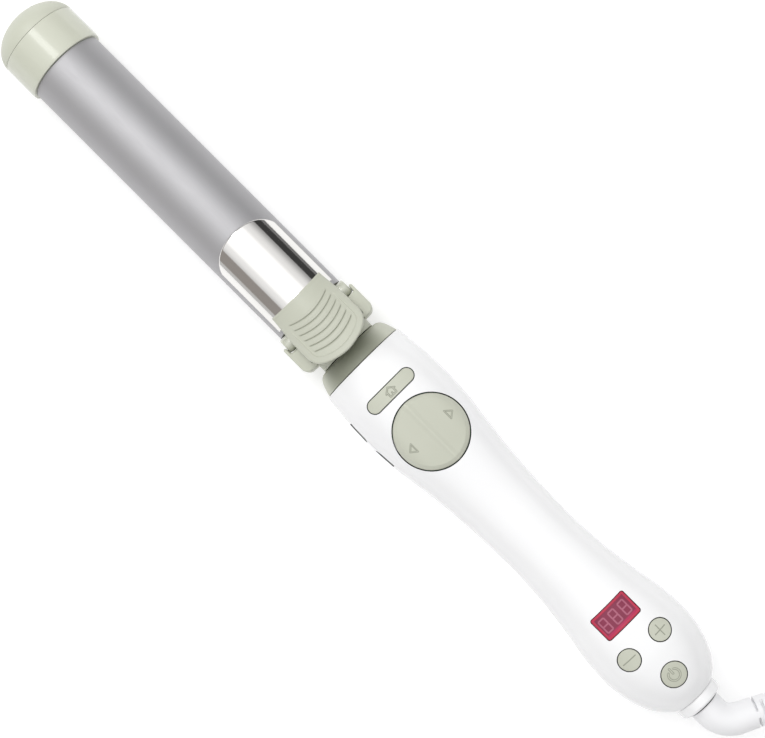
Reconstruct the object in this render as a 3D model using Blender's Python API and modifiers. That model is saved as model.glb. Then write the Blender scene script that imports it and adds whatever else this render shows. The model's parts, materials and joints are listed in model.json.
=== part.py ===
"""Rotating curling iron with a spring clamp, a control handle and a swivel mains lead.

Every separate piece is its own closed solid. Millimetre positions are given as (x, y, z) in the iron's own
coordinates: x from the tip of the cap towards the lead, y across, z up through the control face, with y = z = 0 on
the barrel's axis. place() turns them into metres in the part's frame, whose origin is on the resting surface under
the middle of the body.
"""

import math

import bmesh
import bpy
import numpy as np
from mathutils import Matrix, Vector

# ---------------------------------------------------------------- driving dimensions, millimetres
BODY_LENGTH = 378.0       # x of the swivel ring's rear face; half of it centres the part
AXIS_Z = 19.5             # height of the barrel's axis above the resting surface
BARREL_R = 16.0           # 32 mm barrel
BARREL_BORE = 14.6
CAP_R = 17.25
CAP_X = (0.8, 12.2, 27.4)   # tip, seam between dome and sleeve, end of the sleeve
BARREL_X = (27.8, 162.2)
PLATE_X = (122.0, 160.5)  # clamp plate, from its rounded front to under the lever
PLATE_R = (16.3, 17.1)
PLATE_HALF = math.radians(57.5)
PIVOT = (166.0, 7.0)      # hinge of the clamp, x and z
LEVER_X = (156.0, 185.0)
LEVER_HALF = 13.7
NECK_R = 12.9
COLLAR_X = (183.8, 191.3)
COLLAR_R = 18.5
HANDLE_X = (191.6, 373.2)
WALL = 2.2
GAP = 0.35
HOME = (207.0, 0.0, 22.5, 5.6)        # x, y, length across, width along
ROCKER = (228.9, 0.0, 14.8)           # x, y, radius
WINDOW = (327.8, 0.0, 10.2, 16.8)     # x, y, along, across
PLUS = (343.2, 8.2, 4.3)
MINUS = (343.2, -8.2, 4.3)
POWER = (359.2, 0.0, 5.05)
SLIDER_X = 216.8
RING_X = (373.5, 378.0)
GEAR_MODULE = 0.5
GEAR_TEETH = 30
PINION_TEETH = 12
GEAR_X = (193.6, 198.2)
CENTRES = 0.5 * GEAR_MODULE * (GEAR_TEETH + PINION_TEETH) + 0.12
CORD_D = 6.0
RELIEF_R = (6.8, 5.75)
HANK_RUN = 78.0           # straight length between the end loops of the hank
HANK_LAYERS = 4
LOOP_R = (18.0, 24.0)

# half width, height above the axis and depth below it along the handle
STATIONS = (
    (191.6, 19.2, 19.0, 19.1),
    (200.0, 20.1, 19.3, 19.7),
    (209.0, 20.75, 19.4, 20.1),
    (216.0, 20.87, 19.2, 20.3),
    (228.0, 20.3, 18.6, 20.0),
    (240.0, 18.75, 17.5, 18.8),
    (256.0, 16.85, 16.1, 17.1),
    (272.0, 15.8, 15.2, 16.0),
    (290.0, 15.4, 15.0, 15.7),
    (306.0, 16.25, 15.7, 16.5),
    (322.0, 18.3, 17.2, 18.6),
    (336.0, 20.6, 18.7, 20.2),
    (346.5, 21.2, 19.0, 20.4),
    (354.0, 20.4, 18.3, 19.9),
    (361.0, 18.55, 16.8, 18.2),
    (366.5, 16.1, 14.8, 15.9),
    (370.5, 13.1, 12.3, 13.0),
    (373.2, 10.2, 10.0, 10.2),
)

for old in list(bpy.data.objects):
    bpy.data.objects.remove(old, do_unlink=True)
PARTS = bpy.data.collections.new("curling_iron")
TOOLS = bpy.data.collections.new("cutters")
bpy.context.scene.collection.children.link(PARTS)
bpy.context.scene.collection.children.link(TOOLS)


def place(x, y, z):
    return Vector(((x - BODY_LENGTH / 2) / 1000, y / 1000, (z + AXIS_Z) / 1000))


# ---------------------------------------------------------------- materials
def material(name, colour, rough, metal=0.0):
    m = bpy.data.materials.new(name)
    m.use_nodes = True
    b = m.node_tree.nodes["Principled BSDF"]
    b.inputs["Base Color"].default_value = (*colour, 1)
    b.inputs["Roughness"].default_value = rough
    b.inputs["Metallic"].default_value = metal
    m.diffuse_color = (*colour, 1)
    return m


SAGE = (0.597, 0.610, 0.515)
WHITE = (0.93, 0.93, 0.92)
LOOKS = {
    "sage": (SAGE, 0.45, 0.0),
    "white": (WHITE, 0.25, 0.0),
    "barrel": ((0.52, 0.51, 0.53), 0.35, 0.7),
    "chrome": ((0.85, 0.84, 0.80), 0.08, 1.0),
    "steel": ((0.55, 0.55, 0.55), 0.35, 1.0),
    "alu": ((0.7, 0.7, 0.72), 0.4, 1.0),
    "brass": ((0.75, 0.6, 0.3), 0.35, 1.0),
    "black": ((0.03, 0.03, 0.03), 0.5, 0.0),
    "board": ((0.05, 0.25, 0.1), 0.6, 0.0),
    "ceramic": ((0.85, 0.83, 0.78), 0.7, 0.0),
    "display": ((0.55, 0.05, 0.12), 0.15, 0.0),
    "cord": (WHITE, 0.5, 0.0),
}


def own_material(obj, look):
    obj.data.materials.clear()
    obj.data.materials.append(material(obj.name, *LOOKS[look]))


# ---------------------------------------------------------------- helpers
EMPTIES = {}


def pivot(name, x, y, z):
    e = bpy.data.objects.new(name, None)
    e.location = place(x, y, z)
    e.empty_display_size = 0.01
    PARTS.objects.link(e)
    EMPTIES[name] = e
    return e


def link(obj, look=None, cutter=False, on=None):
    (TOOLS if cutter else PARTS).objects.link(obj)
    if cutter:
        obj.hide_render = True
        obj.display_type = "WIRE"
        return obj
    if look:
        own_material(obj, look)
    if on:
        obj.parent = EMPTIES[on]
        obj.location = obj.location - EMPTIES[on].location
    return obj


def from_bm(name, bm, look=None, cutter=False, on=None, smooth=True):
    bmesh.ops.recalc_face_normals(bm, faces=bm.faces[:])
    if bm.calc_volume(signed=True) < 0:
        bmesh.ops.reverse_faces(bm, faces=bm.faces[:])
    me = bpy.data.meshes.new(name)
    bm.to_mesh(me)
    bm.free()
    if smooth:
        me.shade_smooth()
        me.set_sharp_from_angle(angle=math.radians(35))
    return link(bpy.data.objects.new(name, me), look, cutter, on)


def box(name, x, y, z, look=None, cutter=False, on=None, bevel=0.0):
    bm = bmesh.new()
    bmesh.ops.create_cube(bm, size=1.0)
    lo, hi = place(x[0], y[0], z[0]), place(x[1], y[1], z[1])
    for v in bm.verts:
        v.co = Vector(lo[i] + (v.co[i] + 0.5) * (hi[i] - lo[i]) for i in range(3))
    o = from_bm(name, bm, look, cutter, on, smooth=False)
    if bevel:
        b = o.modifiers.new("edge", "BEVEL")
        b.width, b.segments, b.limit_method = bevel / 1000, 2, "ANGLE"
    return o


def rod(name, a, b, r, look=None, cutter=False, on=None, seg=24, r2=None):
    """A cylinder, or a cone, from point a to point b."""
    p, q = place(*a), place(*b)
    bm = bmesh.new()
    bmesh.ops.create_cone(bm, cap_ends=True, segments=seg, radius1=r / 1000, radius2=(r if r2 is None else r2) / 1000, depth=(q - p).length)
    turn = (q - p).to_track_quat("Z", "Y").to_matrix().to_4x4()
    bm.transform(Matrix.Translation((p + q) / 2) @ turn)
    return from_bm(name, bm, look, cutter, on)


def turned(name, points, look=None, cutter=False, on=None, steps=36, centre=(0.0, 0.0)):
    """A turned piece about a line along x through (y, z) = centre. points are (x, radius); the profile is closed
    when no point is on the line, and open from end to end when the first and the last are."""
    closed = min(r for _, r in points) > 0
    area = sum(
        points[i][1] * points[(i + 1) % len(points)][0] - points[(i + 1) % len(points)][1] * points[i][0]
        for i in range(len(points))
    )
    order = points if area < 0 else points[::-1]
    me = bpy.data.meshes.new(name)
    edges = [(i, i + 1) for i in range(len(order) - 1)] + ([(len(order) - 1, 0)] if closed else [])
    me.from_pydata([(r / 1000, 0, x / 1000) for x, r in order], edges, [])
    o = bpy.data.objects.new(name, me)
    o.rotation_euler = (0, math.pi / 2, 0)
    o.location = place(0, centre[0], centre[1])
    s = o.modifiers.new("turn", "SCREW")
    s.axis, s.steps, s.render_steps = "Z", steps, steps
    s.use_merge_vertices, s.merge_threshold = True, 0.00001
    s.use_smooth_shade = True
    return link(o, look, cutter, on)


def plate(name, outline, axis, lo, hi, look=None, cutter=False, on=None, bevel=0.0):
    """A flat outline pulled out between lo and hi along axis. The outline's pairs are (x, y) for z, (x, z) for y
    and (y, z) for x."""
    cu = bpy.data.curves.new(name, "CURVE")
    cu.dimensions, cu.fill_mode, cu.extrude = "2D", "BOTH", (hi - lo) / 2000
    sp = cu.splines.new("POLY")
    sp.points.add(len(outline) - 1)
    for p, (u, v) in zip(sp.points, outline):
        p.co = (u / 1000, v / 1000, 0, 1)
    sp.use_cyclic_u = True
    raw = bpy.data.objects.new(name + "_outline", cu)
    PARTS.objects.link(raw)
    bpy.context.view_layer.update()
    me = bpy.data.meshes.new_from_object(raw.evaluated_get(bpy.context.evaluated_depsgraph_get()))
    bpy.data.objects.remove(raw, do_unlink=True)
    bm = bmesh.new()
    bm.from_mesh(me)
    bpy.data.meshes.remove(me)
    bmesh.ops.remove_doubles(bm, verts=bm.verts[:], dist=1e-6)
    mid = (lo + hi) / 2000
    for v in bm.verts:
        u, w, t = v.co
        x, y, z = {"z": (u, w, t + mid), "y": (u, t + mid, w), "x": (t + mid, u, w)}[axis]
        v.co = place(x * 1000, y * 1000, z * 1000)
    o = from_bm(name, bm, look, cutter, on)
    if bevel:
        b = o.modifiers.new("edge", "BEVEL")
        b.width, b.segments, b.limit_method = bevel / 1000, 2, "ANGLE"
    return o


def tube(name, points, radius, look=None, on=None, radii=None, res=2, cutter=False):
    """A round piece along points (mm), as a curve with filled caps; radii scales the bevel at each point."""
    cu = bpy.data.curves.new(name, "CURVE")
    cu.dimensions, cu.bevel_depth, cu.bevel_resolution, cu.use_fill_caps = "3D", radius / 1000, res, True
    sp = cu.splines.new("POLY")
    sp.points.add(len(points) - 1)
    for i, p in enumerate(points):
        sp.points[i].co = (*place(*p), 1)
        sp.points[i].radius = 1.0 if radii is None else radii[i]
    raw = bpy.data.objects.new(name + "_line", cu)
    PARTS.objects.link(raw)
    bpy.context.view_layer.update()
    me = bpy.data.meshes.new_from_object(raw.evaluated_get(bpy.context.evaluated_depsgraph_get()))
    bpy.data.objects.remove(raw, do_unlink=True)
    bm = bmesh.new()
    bm.from_mesh(me)
    bpy.data.meshes.remove(me)
    bmesh.ops.remove_doubles(bm, verts=bm.verts[:], dist=1e-6)
    return from_bm(name, bm, look, cutter, on)


def boolean(obj, other, how="DIFFERENCE"):
    m = obj.modifiers.new(other.name, "BOOLEAN")
    m.operation, m.solver, m.object = how, "EXACT", other
    return obj


def joined(obj, *others):
    for o in others:
        boolean(obj, o, "UNION")
    return obj


def cut(obj, *others):
    for o in others:
        boolean(obj, o, "DIFFERENCE")
    return obj


def arc(cx, cy, r, a0, a1, n):
    return [(cx + r * math.cos(math.radians(a0 + (a1 - a0) * i / n)), cy + r * math.sin(math.radians(a0 + (a1 - a0) * i / n))) for i in range(n + 1)]


def rounded(length, width, r, n=4):
    """A rounded rectangle about the origin, length along x and width along y."""
    a, b = length / 2 - r, width / 2 - r
    return arc(a, b, r, 0, 90, n) + arc(-a, b, r, 90, 180, n) + arc(-a, -b, r, 180, 270, n) + arc(a, -b, r, 270, 360, n)


# ---------------------------------------------------------------- handle surface
def smooth_between(xs, ys, x):
    """Monotone cubic through the stations."""
    xs, ys = np.asarray(xs, float), np.asarray(ys, float)
    h, d = np.diff(xs), np.diff(ys) / np.diff(xs)
    m = np.zeros(len(xs))
    m[0], m[-1] = d[0], d[-1]
    for i in range(1, len(xs) - 1):
        if d[i - 1] * d[i] > 0:
            w1, w2 = 2 * h[i] + h[i - 1], h[i] + 2 * h[i - 1]
            m[i] = (w1 + w2) / (w1 / d[i - 1] + w2 / d[i])
    x = min(max(x, xs[0]), xs[-1])
    i = min(int(np.searchsorted(xs, x, side="right")) - 1, len(xs) - 2)
    t = (x - xs[i]) / h[i]
    return float(
        (2 * t**3 - 3 * t**2 + 1) * ys[i] + (t**3 - 2 * t**2 + t) * h[i] * m[i]
        + (-2 * t**3 + 3 * t**2) * ys[i + 1] + (t**3 - t**2) * h[i] * m[i + 1]
    )


def ramp(x, a, b):
    t = min(max((x - a) / (b - a), 0.0), 1.0)
    return t * t * (3 - 2 * t)


def handle_at(x):
    """Half width, height, depth and squareness of the handle's section at x."""
    xs = [s[0] for s in STATIONS]
    w, up, down = (smooth_between(xs, [s[k] for s in STATIONS], x) for k in (1, 2, 3))
    square = 2.0 + 0.35 * ramp(x, 191.6, 206.0) - 0.35 * ramp(x, 350.0, 372.0)
    return w, up, down, square


def surface_z(x, y):
    w, up, _, n = handle_at(x)
    return up * max(0.0, 1 - min(1.0, abs(y) / w) ** n) ** (1 / n)


def half_ring(w, h, n, count, top, floor=1e9, split=0.15):
    """Points of half a section from +y round to -y, above (top) or below the parting line."""
    pts = []
    for j in range(count + 1):
        a = math.pi * j / count
        y = w * math.copysign(abs(math.cos(a)) ** (2 / n), math.cos(a)) if 0 < j < count else (w if j == 0 else -w)
        z = h * abs(math.sin(a)) ** (2 / n) if 0 < j < count else 0.0
        z = max(min(z, floor), split)
        pts.append((y, z if top else -z))
    return pts


def shell_half(name, top, look, count=12):
    """One half of the handle's case: outer skin, inner skin and the faces between them."""
    outer_x = [191.6, 196, 201, 208, 216, 226, 237, 248, 260, 274, 290, 304, 316, 328, 338, 346.5, 353, 358, 362.5, 366.5, 369.3, 371.4, 373.2]
    outer, inner = [], []
    for x in outer_x:
        w, up, down, n = handle_at(x)
        outer.append([(x, y, z) for y, z in half_ring(w, up if top else down, n, count, top, 1e9 if top else AXIS_Z)])
    for x in outer_x:
        if x < 371:
            ahead = x + 2.0 * ramp(x, 346, 368)
            w, up, down, n = handle_at(ahead)
            t = WALL - 0.2 * ramp(x, 346, 368)
            r = half_ring(w - t, (up if top else down) - t, n, count, top, 1e9 if top else AXIS_Z - WALL)
            inner.append([(x, y, z) for y, z in r])
        else:
            r = half_ring(8.0, 8.0, 2.0, count, top)
            inner.append([(x, y, z) for y, z in r])
    bm = bmesh.new()
    ov = [[bm.verts.new(place(*p)) for p in row] for row in outer]
    iv = [[bm.verts.new(place(*p)) for p in row] for row in inner]
    rows, last = len(ov), count
    for i in range(rows - 1):
        for j in range(count):
            bm.faces.new((ov[i][j], ov[i][j + 1], ov[i + 1][j + 1], ov[i + 1][j]))
            bm.faces.new((iv[i][j + 1], iv[i][j], iv[i + 1][j], iv[i + 1][j + 1]))
        bm.faces.new((ov[i][0], ov[i + 1][0], iv[i + 1][0], iv[i][0]))
        bm.faces.new((ov[i][last], iv[i][last], iv[i + 1][last], ov[i + 1][last]))
    for j in range(count):
        bm.faces.new((ov[0][j + 1], ov[0][j], iv[0][j], iv[0][j + 1]))
        bm.faces.new((ov[-1][j], ov[-1][j + 1], iv[-1][j + 1], iv[-1][j]))
    return from_bm(name, bm, look)


def conforming(name, cx, cy, outline, proud, under, look, rim=0.0, rings=(0.35, 0.7, 0.93, 1.0), bottom=None, crown=None, on=None):
    """A key or lens with an upright outline, whose top follows the handle's skin, proud of it by proud, with the rim
    dropped by rim. Its underside is flat at z = bottom, or under below the skin."""
    bm = bmesh.new()

    def top(x, y, s):
        return surface_z(x, y) + proud - rim * max(0.0, (s - 0.9) / 0.1) + (crown(x - cx, y - cy) if crown else 0.0)

    def low(x, y):
        return bottom if bottom is not None else surface_z(x, y) - under

    def ring(s, height):
        return [bm.verts.new(place(cx + s * dx, cy + s * dy, height(cx + s * dx, cy + s * dy, s))) for dx, dy in outline]

    hi = [ring(s, top) for s in rings]
    centre = bm.verts.new(place(cx, cy, top(cx, cy, 0)))
    n = len(outline)
    for j in range(n):
        k = (j + 1) % n
        bm.faces.new((centre, hi[0][j], hi[0][k]))
        for a, b in zip(hi[:-1], hi[1:]):
            bm.faces.new((a[j], b[j], b[k], a[k]))
    if bottom is not None:
        lo = [bm.verts.new(place(cx + dx, cy + dy, bottom)) for dx, dy in outline]
        bm.faces.new(lo[::-1])
        outer = lo
    else:
        rows = [ring(s, lambda x, y, s: low(x, y)) for s in rings]
        mid = bm.verts.new(place(cx, cy, low(cx, cy)))
        for j in range(n):
            k = (j + 1) % n
            bm.faces.new((mid, rows[0][k], rows[0][j]))
            for a, b in zip(rows[:-1], rows[1:]):
                bm.faces.new((a[k], b[k], b[j], a[j]))
        outer = rows[-1]
    for j in range(n):
        k = (j + 1) % n
        bm.faces.new((hi[-1][j], outer[j], outer[k], hi[-1][k]))
    return from_bm(name, bm, look, on=on)


def upright(name, cx, cy, outline, lo, hi):
    """An upright cutter with the given outline."""
    return plate(name, [(cx + a, cy + b) for a, b in outline], "z", lo, hi, cutter=True)


def circle(r, n):
    return [(r * math.cos(2 * math.pi * i / n), r * math.sin(2 * math.pi * i / n)) for i in range(n)]


# ---------------------------------------------------------------- joint axes
pivot("barrel_axis", 175.0, 0, 0)
pivot("clamp_axis", PIVOT[0], 0, PIVOT[1])
pivot("pinion_axis", 196.0, 0, -CENTRES)
pivot("rocker_axis", ROCKER[0], 0, 12.5)
pivot("home_axis", HOME[0], 0, 15.0)
pivot("plus_axis", PLUS[0], PLUS[1], 14.0)
pivot("minus_axis", MINUS[0], MINUS[1], 14.0)
pivot("power_axis", POWER[0], 0, 12.0)
pivot("slider_axis", SLIDER_X, -18.0, 4.5)
pivot("swivel_axis", 370.0, 0, 0)

# ---------------------------------------------------------------- cap at the tip
deep = CAP_X[1] - CAP_X[0]
dome = [(CAP_X[1] - deep * math.cos(t), CAP_R * math.sin(t)) for t in np.linspace(0, math.pi / 2, 8)]
inside = [(CAP_X[1] - (deep - 1.8) * math.cos(t), (CAP_R - 2.0) * math.sin(t)) for t in np.linspace(math.pi / 2, 0, 5)]
turned("tip_cap_dome", dome + inside, "sage", on="barrel_axis", steps=28)
turned(
    "tip_cap_sleeve",
    [(12.5, CAP_R), (CAP_X[2], CAP_R), (CAP_X[2], 14.2), (34.0, 14.2), (34.0, 12.5), (16.5, 12.5), (16.5, 2.2), (14.0, 2.2), (14.0, 14.8), (12.5, 14.8)],
    "sage", on="barrel_axis", steps=28,
)
turned("tip_screw", [(11.2, 0), (11.2, 2.6), (11.8, 3.2), (13.7, 3.2), (13.7, 1.6), (44.0, 1.6), (44.6, 0)], "steel", on="barrel_axis", steps=12)

# ---------------------------------------------------------------- barrel and heater
turned("barrel_tube", [(BARREL_X[0], BARREL_R), (BARREL_X[1], BARREL_R), (BARREL_X[1], BARREL_BORE), (BARREL_X[0], BARREL_BORE)], "barrel", on="barrel_axis", steps=36)
for side, sign in (("upper", 1), ("lower", -1)):
    half = [(y, sign * z) for y, z in arc(0, 0, 14.2, 10, 170, 14)]
    h = plate("heater_half_" + side, half, "x", 38.0, 138.0, "alu", on="barrel_axis")
    cut(h, rod("heater_bore_" + side, (30, 0, sign * 8.4), (145, 0, sign * 8.4), 4.6, cutter=True, seg=16), rod("screw_bore_" + side, (30, 0, 0), (47, 0, 0), 3.0, cutter=True, seg=16))
box("ptc_heater", (52, 132), (-6.5, 6.5), (-2.1, 2.1), "ceramic", on="barrel_axis")
rod("thermistor", (84, 9.4, 0), (93, 9.4, 0), 1.4, "black", on="barrel_axis", seg=12)

# ---------------------------------------------------------------- hinge hub with its ears, and the neck
hub = turned(
    "hinge_hub",
    [(150.5, 3.2), (150.5, 14.2), (162.55, 14.2), (162.55, 15.9), (178.6, 15.9), (179.8, NECK_R), (183.4, NECK_R), (183.4, 4.4), (170.7, 4.4), (170.7, 3.2)],
    "sage", on="barrel_axis", steps=28,
)
for side, s in (("left", 1), ("right", -1)):
    cut(hub, box("cheek_slot_" + side, (161.0, 178.0), sorted((s * 10.6, s * 22)), (2.0, 22), cutter=True))
    ear = [(169.6, 12.6), (169.6, 17.1), (166.6, 17.1), (166.6, 17.9), (167.1, 18.4), (176.9, 18.4)] + arc(176.9, 15.4, 3.0, 78, 12, 4)[0:] + [(180.0, 12.6)]
    low = plate("ear_" + side, [(x, s * y) for x, y in ear], "z", -6.0, 10.6, cutter=True)
    low.modifiers.new("edge", "BEVEL").width = 0.0006
    low.modifiers["edge"].segments = 2
    low.modifiers["edge"].limit_method = "ANGLE"
    joined(hub, low)
    cut(hub, box("ear_gap_" + side, (160.0, 178.05), sorted((s * 10.55, s * 13.9)), (2.0, 22), cutter=True))
    cut(hub, rod("ear_seat_" + side, (PIVOT[0], s * 13.3, PIVOT[1]), (PIVOT[0], s * 17.1, PIVOT[1]), 3.55, cutter=True, seg=18))
cut(hub, box("spring_pocket", (162.8, 170.3), (-4.9, 4.9), (3.9, 22), cutter=True))
cut(hub, box("leg_pocket", (170.0, 177.3), (-4.85, 4.85), (5.6, 22), cutter=True))
cut(hub, rod("pin_bore", (PIVOT[0], -12, PIVOT[1]), (PIVOT[0], 12, PIVOT[1]), 1.55, cutter=True, seg=20))
rod("hinge_pin", (PIVOT[0], -16.7, PIVOT[1]), (PIVOT[0], 16.7, PIVOT[1]), 1.2, "steel", on="barrel_axis", seg=16)

# ---------------------------------------------------------------- clamp plate and thumb lever
def plate_edge(a):
    """Where the plate starts, at angle a from the top: a long rounded nose."""
    return PLATE_X[0] + 11.0 * (1 - math.sqrt(max(0.0, 1 - (16.7 * a / 17.9) ** 2)))


bm = bmesh.new()
cols, rows = 25, 6
angles = np.linspace(-PLATE_HALF, PLATE_HALF, cols)
sheet = {}
for k, r in enumerate(PLATE_R):
    for i, a in enumerate(angles):
        x0 = plate_edge(a)
        for j in range(rows):
            x = x0 + (PLATE_X[1] - x0) * (j / (rows - 1))
            sheet[k, i, j] = bm.verts.new(place(x, r * math.sin(a), r * math.cos(a)))
for i in range(cols - 1):
    for j in range(rows - 1):
        bm.faces.new((sheet[1, i, j], sheet[1, i, j + 1], sheet[1, i + 1, j + 1], sheet[1, i + 1, j]))
        bm.faces.new((sheet[0, i, j], sheet[0, i + 1, j], sheet[0, i + 1, j + 1], sheet[0, i, j + 1]))
    bm.faces.new((sheet[0, i, 0], sheet[1, i, 0], sheet[1, i + 1, 0], sheet[0, i + 1, 0]))
    bm.faces.new((sheet[0, i, rows - 1], sheet[0, i + 1, rows - 1], sheet[1, i + 1, rows - 1], sheet[1, i, rows - 1]))
for j in range(rows - 1):
    bm.faces.new((sheet[0, 0, j], sheet[0, 0, j + 1], sheet[1, 0, j + 1], sheet[1, 0, j]))
    bm.faces.new((sheet[0, cols - 1, j], sheet[1, cols - 1, j], sheet[1, cols - 1, j + 1], sheet[0, cols - 1, j + 1]))
clamp = from_bm("clamp_plate", bm, "chrome", on="clamp_axis")


def lever_mid(x):
    return smooth_between((156.8, 160.0, 165.0, 171.0, 178.0, 185.8), (18.9, 19.7, 21.5, 23.8, 25.9, 27.2), x)


def lever_top(x, y):
    drop = smooth_between((156.8, 164.0, 172.0, 180.0, 185.8), (6.3, 5.2, 3.4, 2.2, 1.8), x)
    return lever_mid(x) - drop * (y / LEVER_HALF) ** 2


def lever_half(x):
    if x < 168:
        return 12.65 + (LEVER_HALF - 12.65) * ramp(x, 154.0, 168.0)
    u = min(1.0, max(0.0, (x - 175.0) / 10.0))
    return LEVER_HALF * (1 - u**3) ** 0.625


def lever_under(x, y):
    z = lever_top(x, y) - 2.4
    return max(z, math.sqrt(17.45**2 - y**2)) if x <= 161.6 else z


bm = bmesh.new()
xs = [156.0, 158.8, 161.6, 161.7, 166, 171, 175.5, 178.5, 181.0, 183.0, 184.4, 184.85]
across = 9
grid = {}
for i, x in enumerate(xs):
    hw = lever_half(x)
    for j in range(across):
        y = hw * (-1 + 2 * j / (across - 1))
        grid[1, i, j] = bm.verts.new(place(x, y, lever_top(x, y)))
        grid[0, i, j] = bm.verts.new(place(x, y, lever_under(x, y)))
for i in range(len(xs) - 1):
    for j in range(across - 1):
        bm.faces.new((grid[1, i, j], grid[1, i + 1, j], grid[1, i + 1, j + 1], grid[1, i, j + 1]))
        bm.faces.new((grid[0, i, j], grid[0, i, j + 1], grid[0, i + 1, j + 1], grid[0, i + 1, j]))
    for j in (0, across - 1):
        bm.faces.new((grid[1, i, j], grid[0, i, j], grid[0, i + 1, j], grid[1, i + 1, j]))
for i in (0, len(xs) - 1):
    for j in range(across - 1):
        bm.faces.new((grid[1, i, j], grid[1, i, j + 1], grid[0, i, j + 1], grid[0, i, j]))
lever = from_bm("thumb_lever", bm, "sage", on="clamp_axis")
for side, s in (("left", 1), ("right", -1)):
    cheek = [(162.6, 14.4), (162.8, 7.0)] + arc(PIVOT[0], PIVOT[1], 3.2, 190, 330, 6) + [(171.0, 9.5), (174.5, 15.5), (175.6, 21.0), (170.0, 18.9), (166.0, 16.9)]
    joined(lever, plate("cheek_" + side, cheek, "y", *sorted((s * 11.0, s * 13.25)), cutter=True))
    joined(lever, rod("boss_" + side, (PIVOT[0], s * 12.8, PIVOT[1]), (PIVOT[0], s * 16.8, PIVOT[1]), 3.2, cutter=True, seg=16))
cut(lever, rod("lever_bore", (PIVOT[0], -18, PIVOT[1]), (PIVOT[0], 18, PIVOT[1]), 1.5, cutter=True, seg=20))
for side, s in (("left", 1), ("right", -1)):
    y = s * 5.5
    hole = rod("rivet_hole_" + side, (159.0, y, 12.0), (159.0, y, 17.2), 1.3, cutter=True, seg=12)
    cut(lever, hole)
    cut(clamp, hole)
    rod("clamp_rivet_" + side, (159.0, y, 15.6), (159.0, y, 16.9), 1.0, "steel", on="clamp_axis", seg=10)

# torsion spring of the clamp, wound round the hinge pin, one leg under the lever and one in the hub's pocket
turns, wire, coil_r = 4.0, 0.4, 2.3
line = []
for i in range(int(turns * 12) + 1):
    a = math.radians(75 + 30 * i)
    line.append((PIVOT[0] + coil_r * math.cos(a), -3.6 + 7.2 * i / (turns * 12), PIVOT[1] + coil_r * math.sin(a)))
first = (175.5, -3.6, 21.2)
last = (175.8, 3.6, 8.6)
tube("lever_spring", [first] + line + [(PIVOT[0] + 3.2, 3.6, PIVOT[1] + 2.4), last], wire, "steel", on="clamp_axis", res=0)

# ---------------------------------------------------------------- rotor shaft, gear, slip rings
turned("rotor_shaft", [(171.2, 4.0), (213.0, 4.0), (213.0, 2.4), (171.2, 2.4)], "steel", on="barrel_axis", steps=24)


def gear(name, teeth, x, centre_z, bore, phase, look, on):
    """Straight-sided teeth, thinner than half the pitch so that the pair turns freely."""
    pr, pitch = GEAR_MODULE * teeth / 2, 2 * math.pi / teeth
    root, tip = pr - 0.62, pr + 0.42
    pts = []
    for i in range(teeth):
        c = phase + i * pitch
        for a, r in ((-0.27, root), (-0.13, tip), (0.13, tip), (0.27, root)):
            pts.append((r * math.cos(c + a * pitch), centre_z + r * math.sin(c + a * pitch)))
    g = plate(name, pts, "x", x[0], x[1], look, on=on)
    if bore:
        cut(g, rod(name + "_bore", (x[0] - 2, 0, centre_z), (x[1] + 2, 0, centre_z), bore, cutter=True, seg=24))
    return g


gear("rotor_gear", GEAR_TEETH, GEAR_X, 0.0, 4.3, -math.pi / 2, "brass", "barrel_axis")
pinion = gear("drive_pinion", PINION_TEETH, GEAR_X, -CENTRES, 0.0, math.pi / 2 + math.pi / PINION_TEETH, "steel", "pinion_axis")
joined(pinion, rod("pinion_shaft", (197.0, 0, -CENTRES), (203.0, 0, -CENTRES), 1.0, cutter=True, seg=12))
turned("slip_ring_front", [(200.0, 5.2), (203.4, 5.2), (203.4, 4.3), (200.0, 4.3)], "brass", on="barrel_axis", steps=24)
turned("slip_ring_rear", [(205.4, 5.2), (208.8, 5.2), (208.8, 4.3), (205.4, 4.3)], "brass", on="barrel_axis", steps=24)
turned("shaft_clip", [(210.4, 5.2), (211.4, 5.2), (211.4, 4.3), (210.4, 4.3)], "steel", on="barrel_axis", steps=20)

# ---------------------------------------------------------------- fixed collar, bush, brushes, motor
collar = [
    (COLLAR_X[0] + (COLLAR_X[1] - COLLAR_X[0]) * u, 13.2 + (COLLAR_R - 13.2) * u**0.34)
    for u in (0.0, 0.012, 0.05, 0.13, 0.28, 0.50, 0.75, 1.0)
]
turned("front_collar", collar + [(COLLAR_X[1], 16.4), (196.5, 16.4), (196.5, 14.6), (189.5, 14.6), (189.5, 6.4), (COLLAR_X[0], 6.4)], "sage", steps=30)
turned("shaft_bush", [(184.2, 6.05), (192.6, 6.05), (192.6, 4.06), (184.2, 4.06)], "brass", steps=24)
for name, x in (("brush_front", 201.7), ("brush_rear", 207.1)):
    box(name, (x - 1.1, x + 1.1), (-1.3, 1.3), (5.5, 7.0), "brass")
box("brush_holder", (199.5, 209.3), (-4.0, 4.0), (7.3, 8.5), "black")
motor = box("gear_motor", (200.0, 209.5), (-6.0, 6.0), (-15.7, -5.8), "steel")
joined(motor, rod("motor_can", (209.0, 0, -10.75), (227.0, 0, -10.75), 4.9, cutter=True, seg=24), rod("motor_boss", (226, 0, -10.75), (228.4, 0, -10.75), 2.0, cutter=True, seg=16))
cut(motor, rod("gearbox_bore", (199.0, 0, -CENTRES), (204.0, 0, -CENTRES), 1.35, cutter=True, seg=16))

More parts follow.
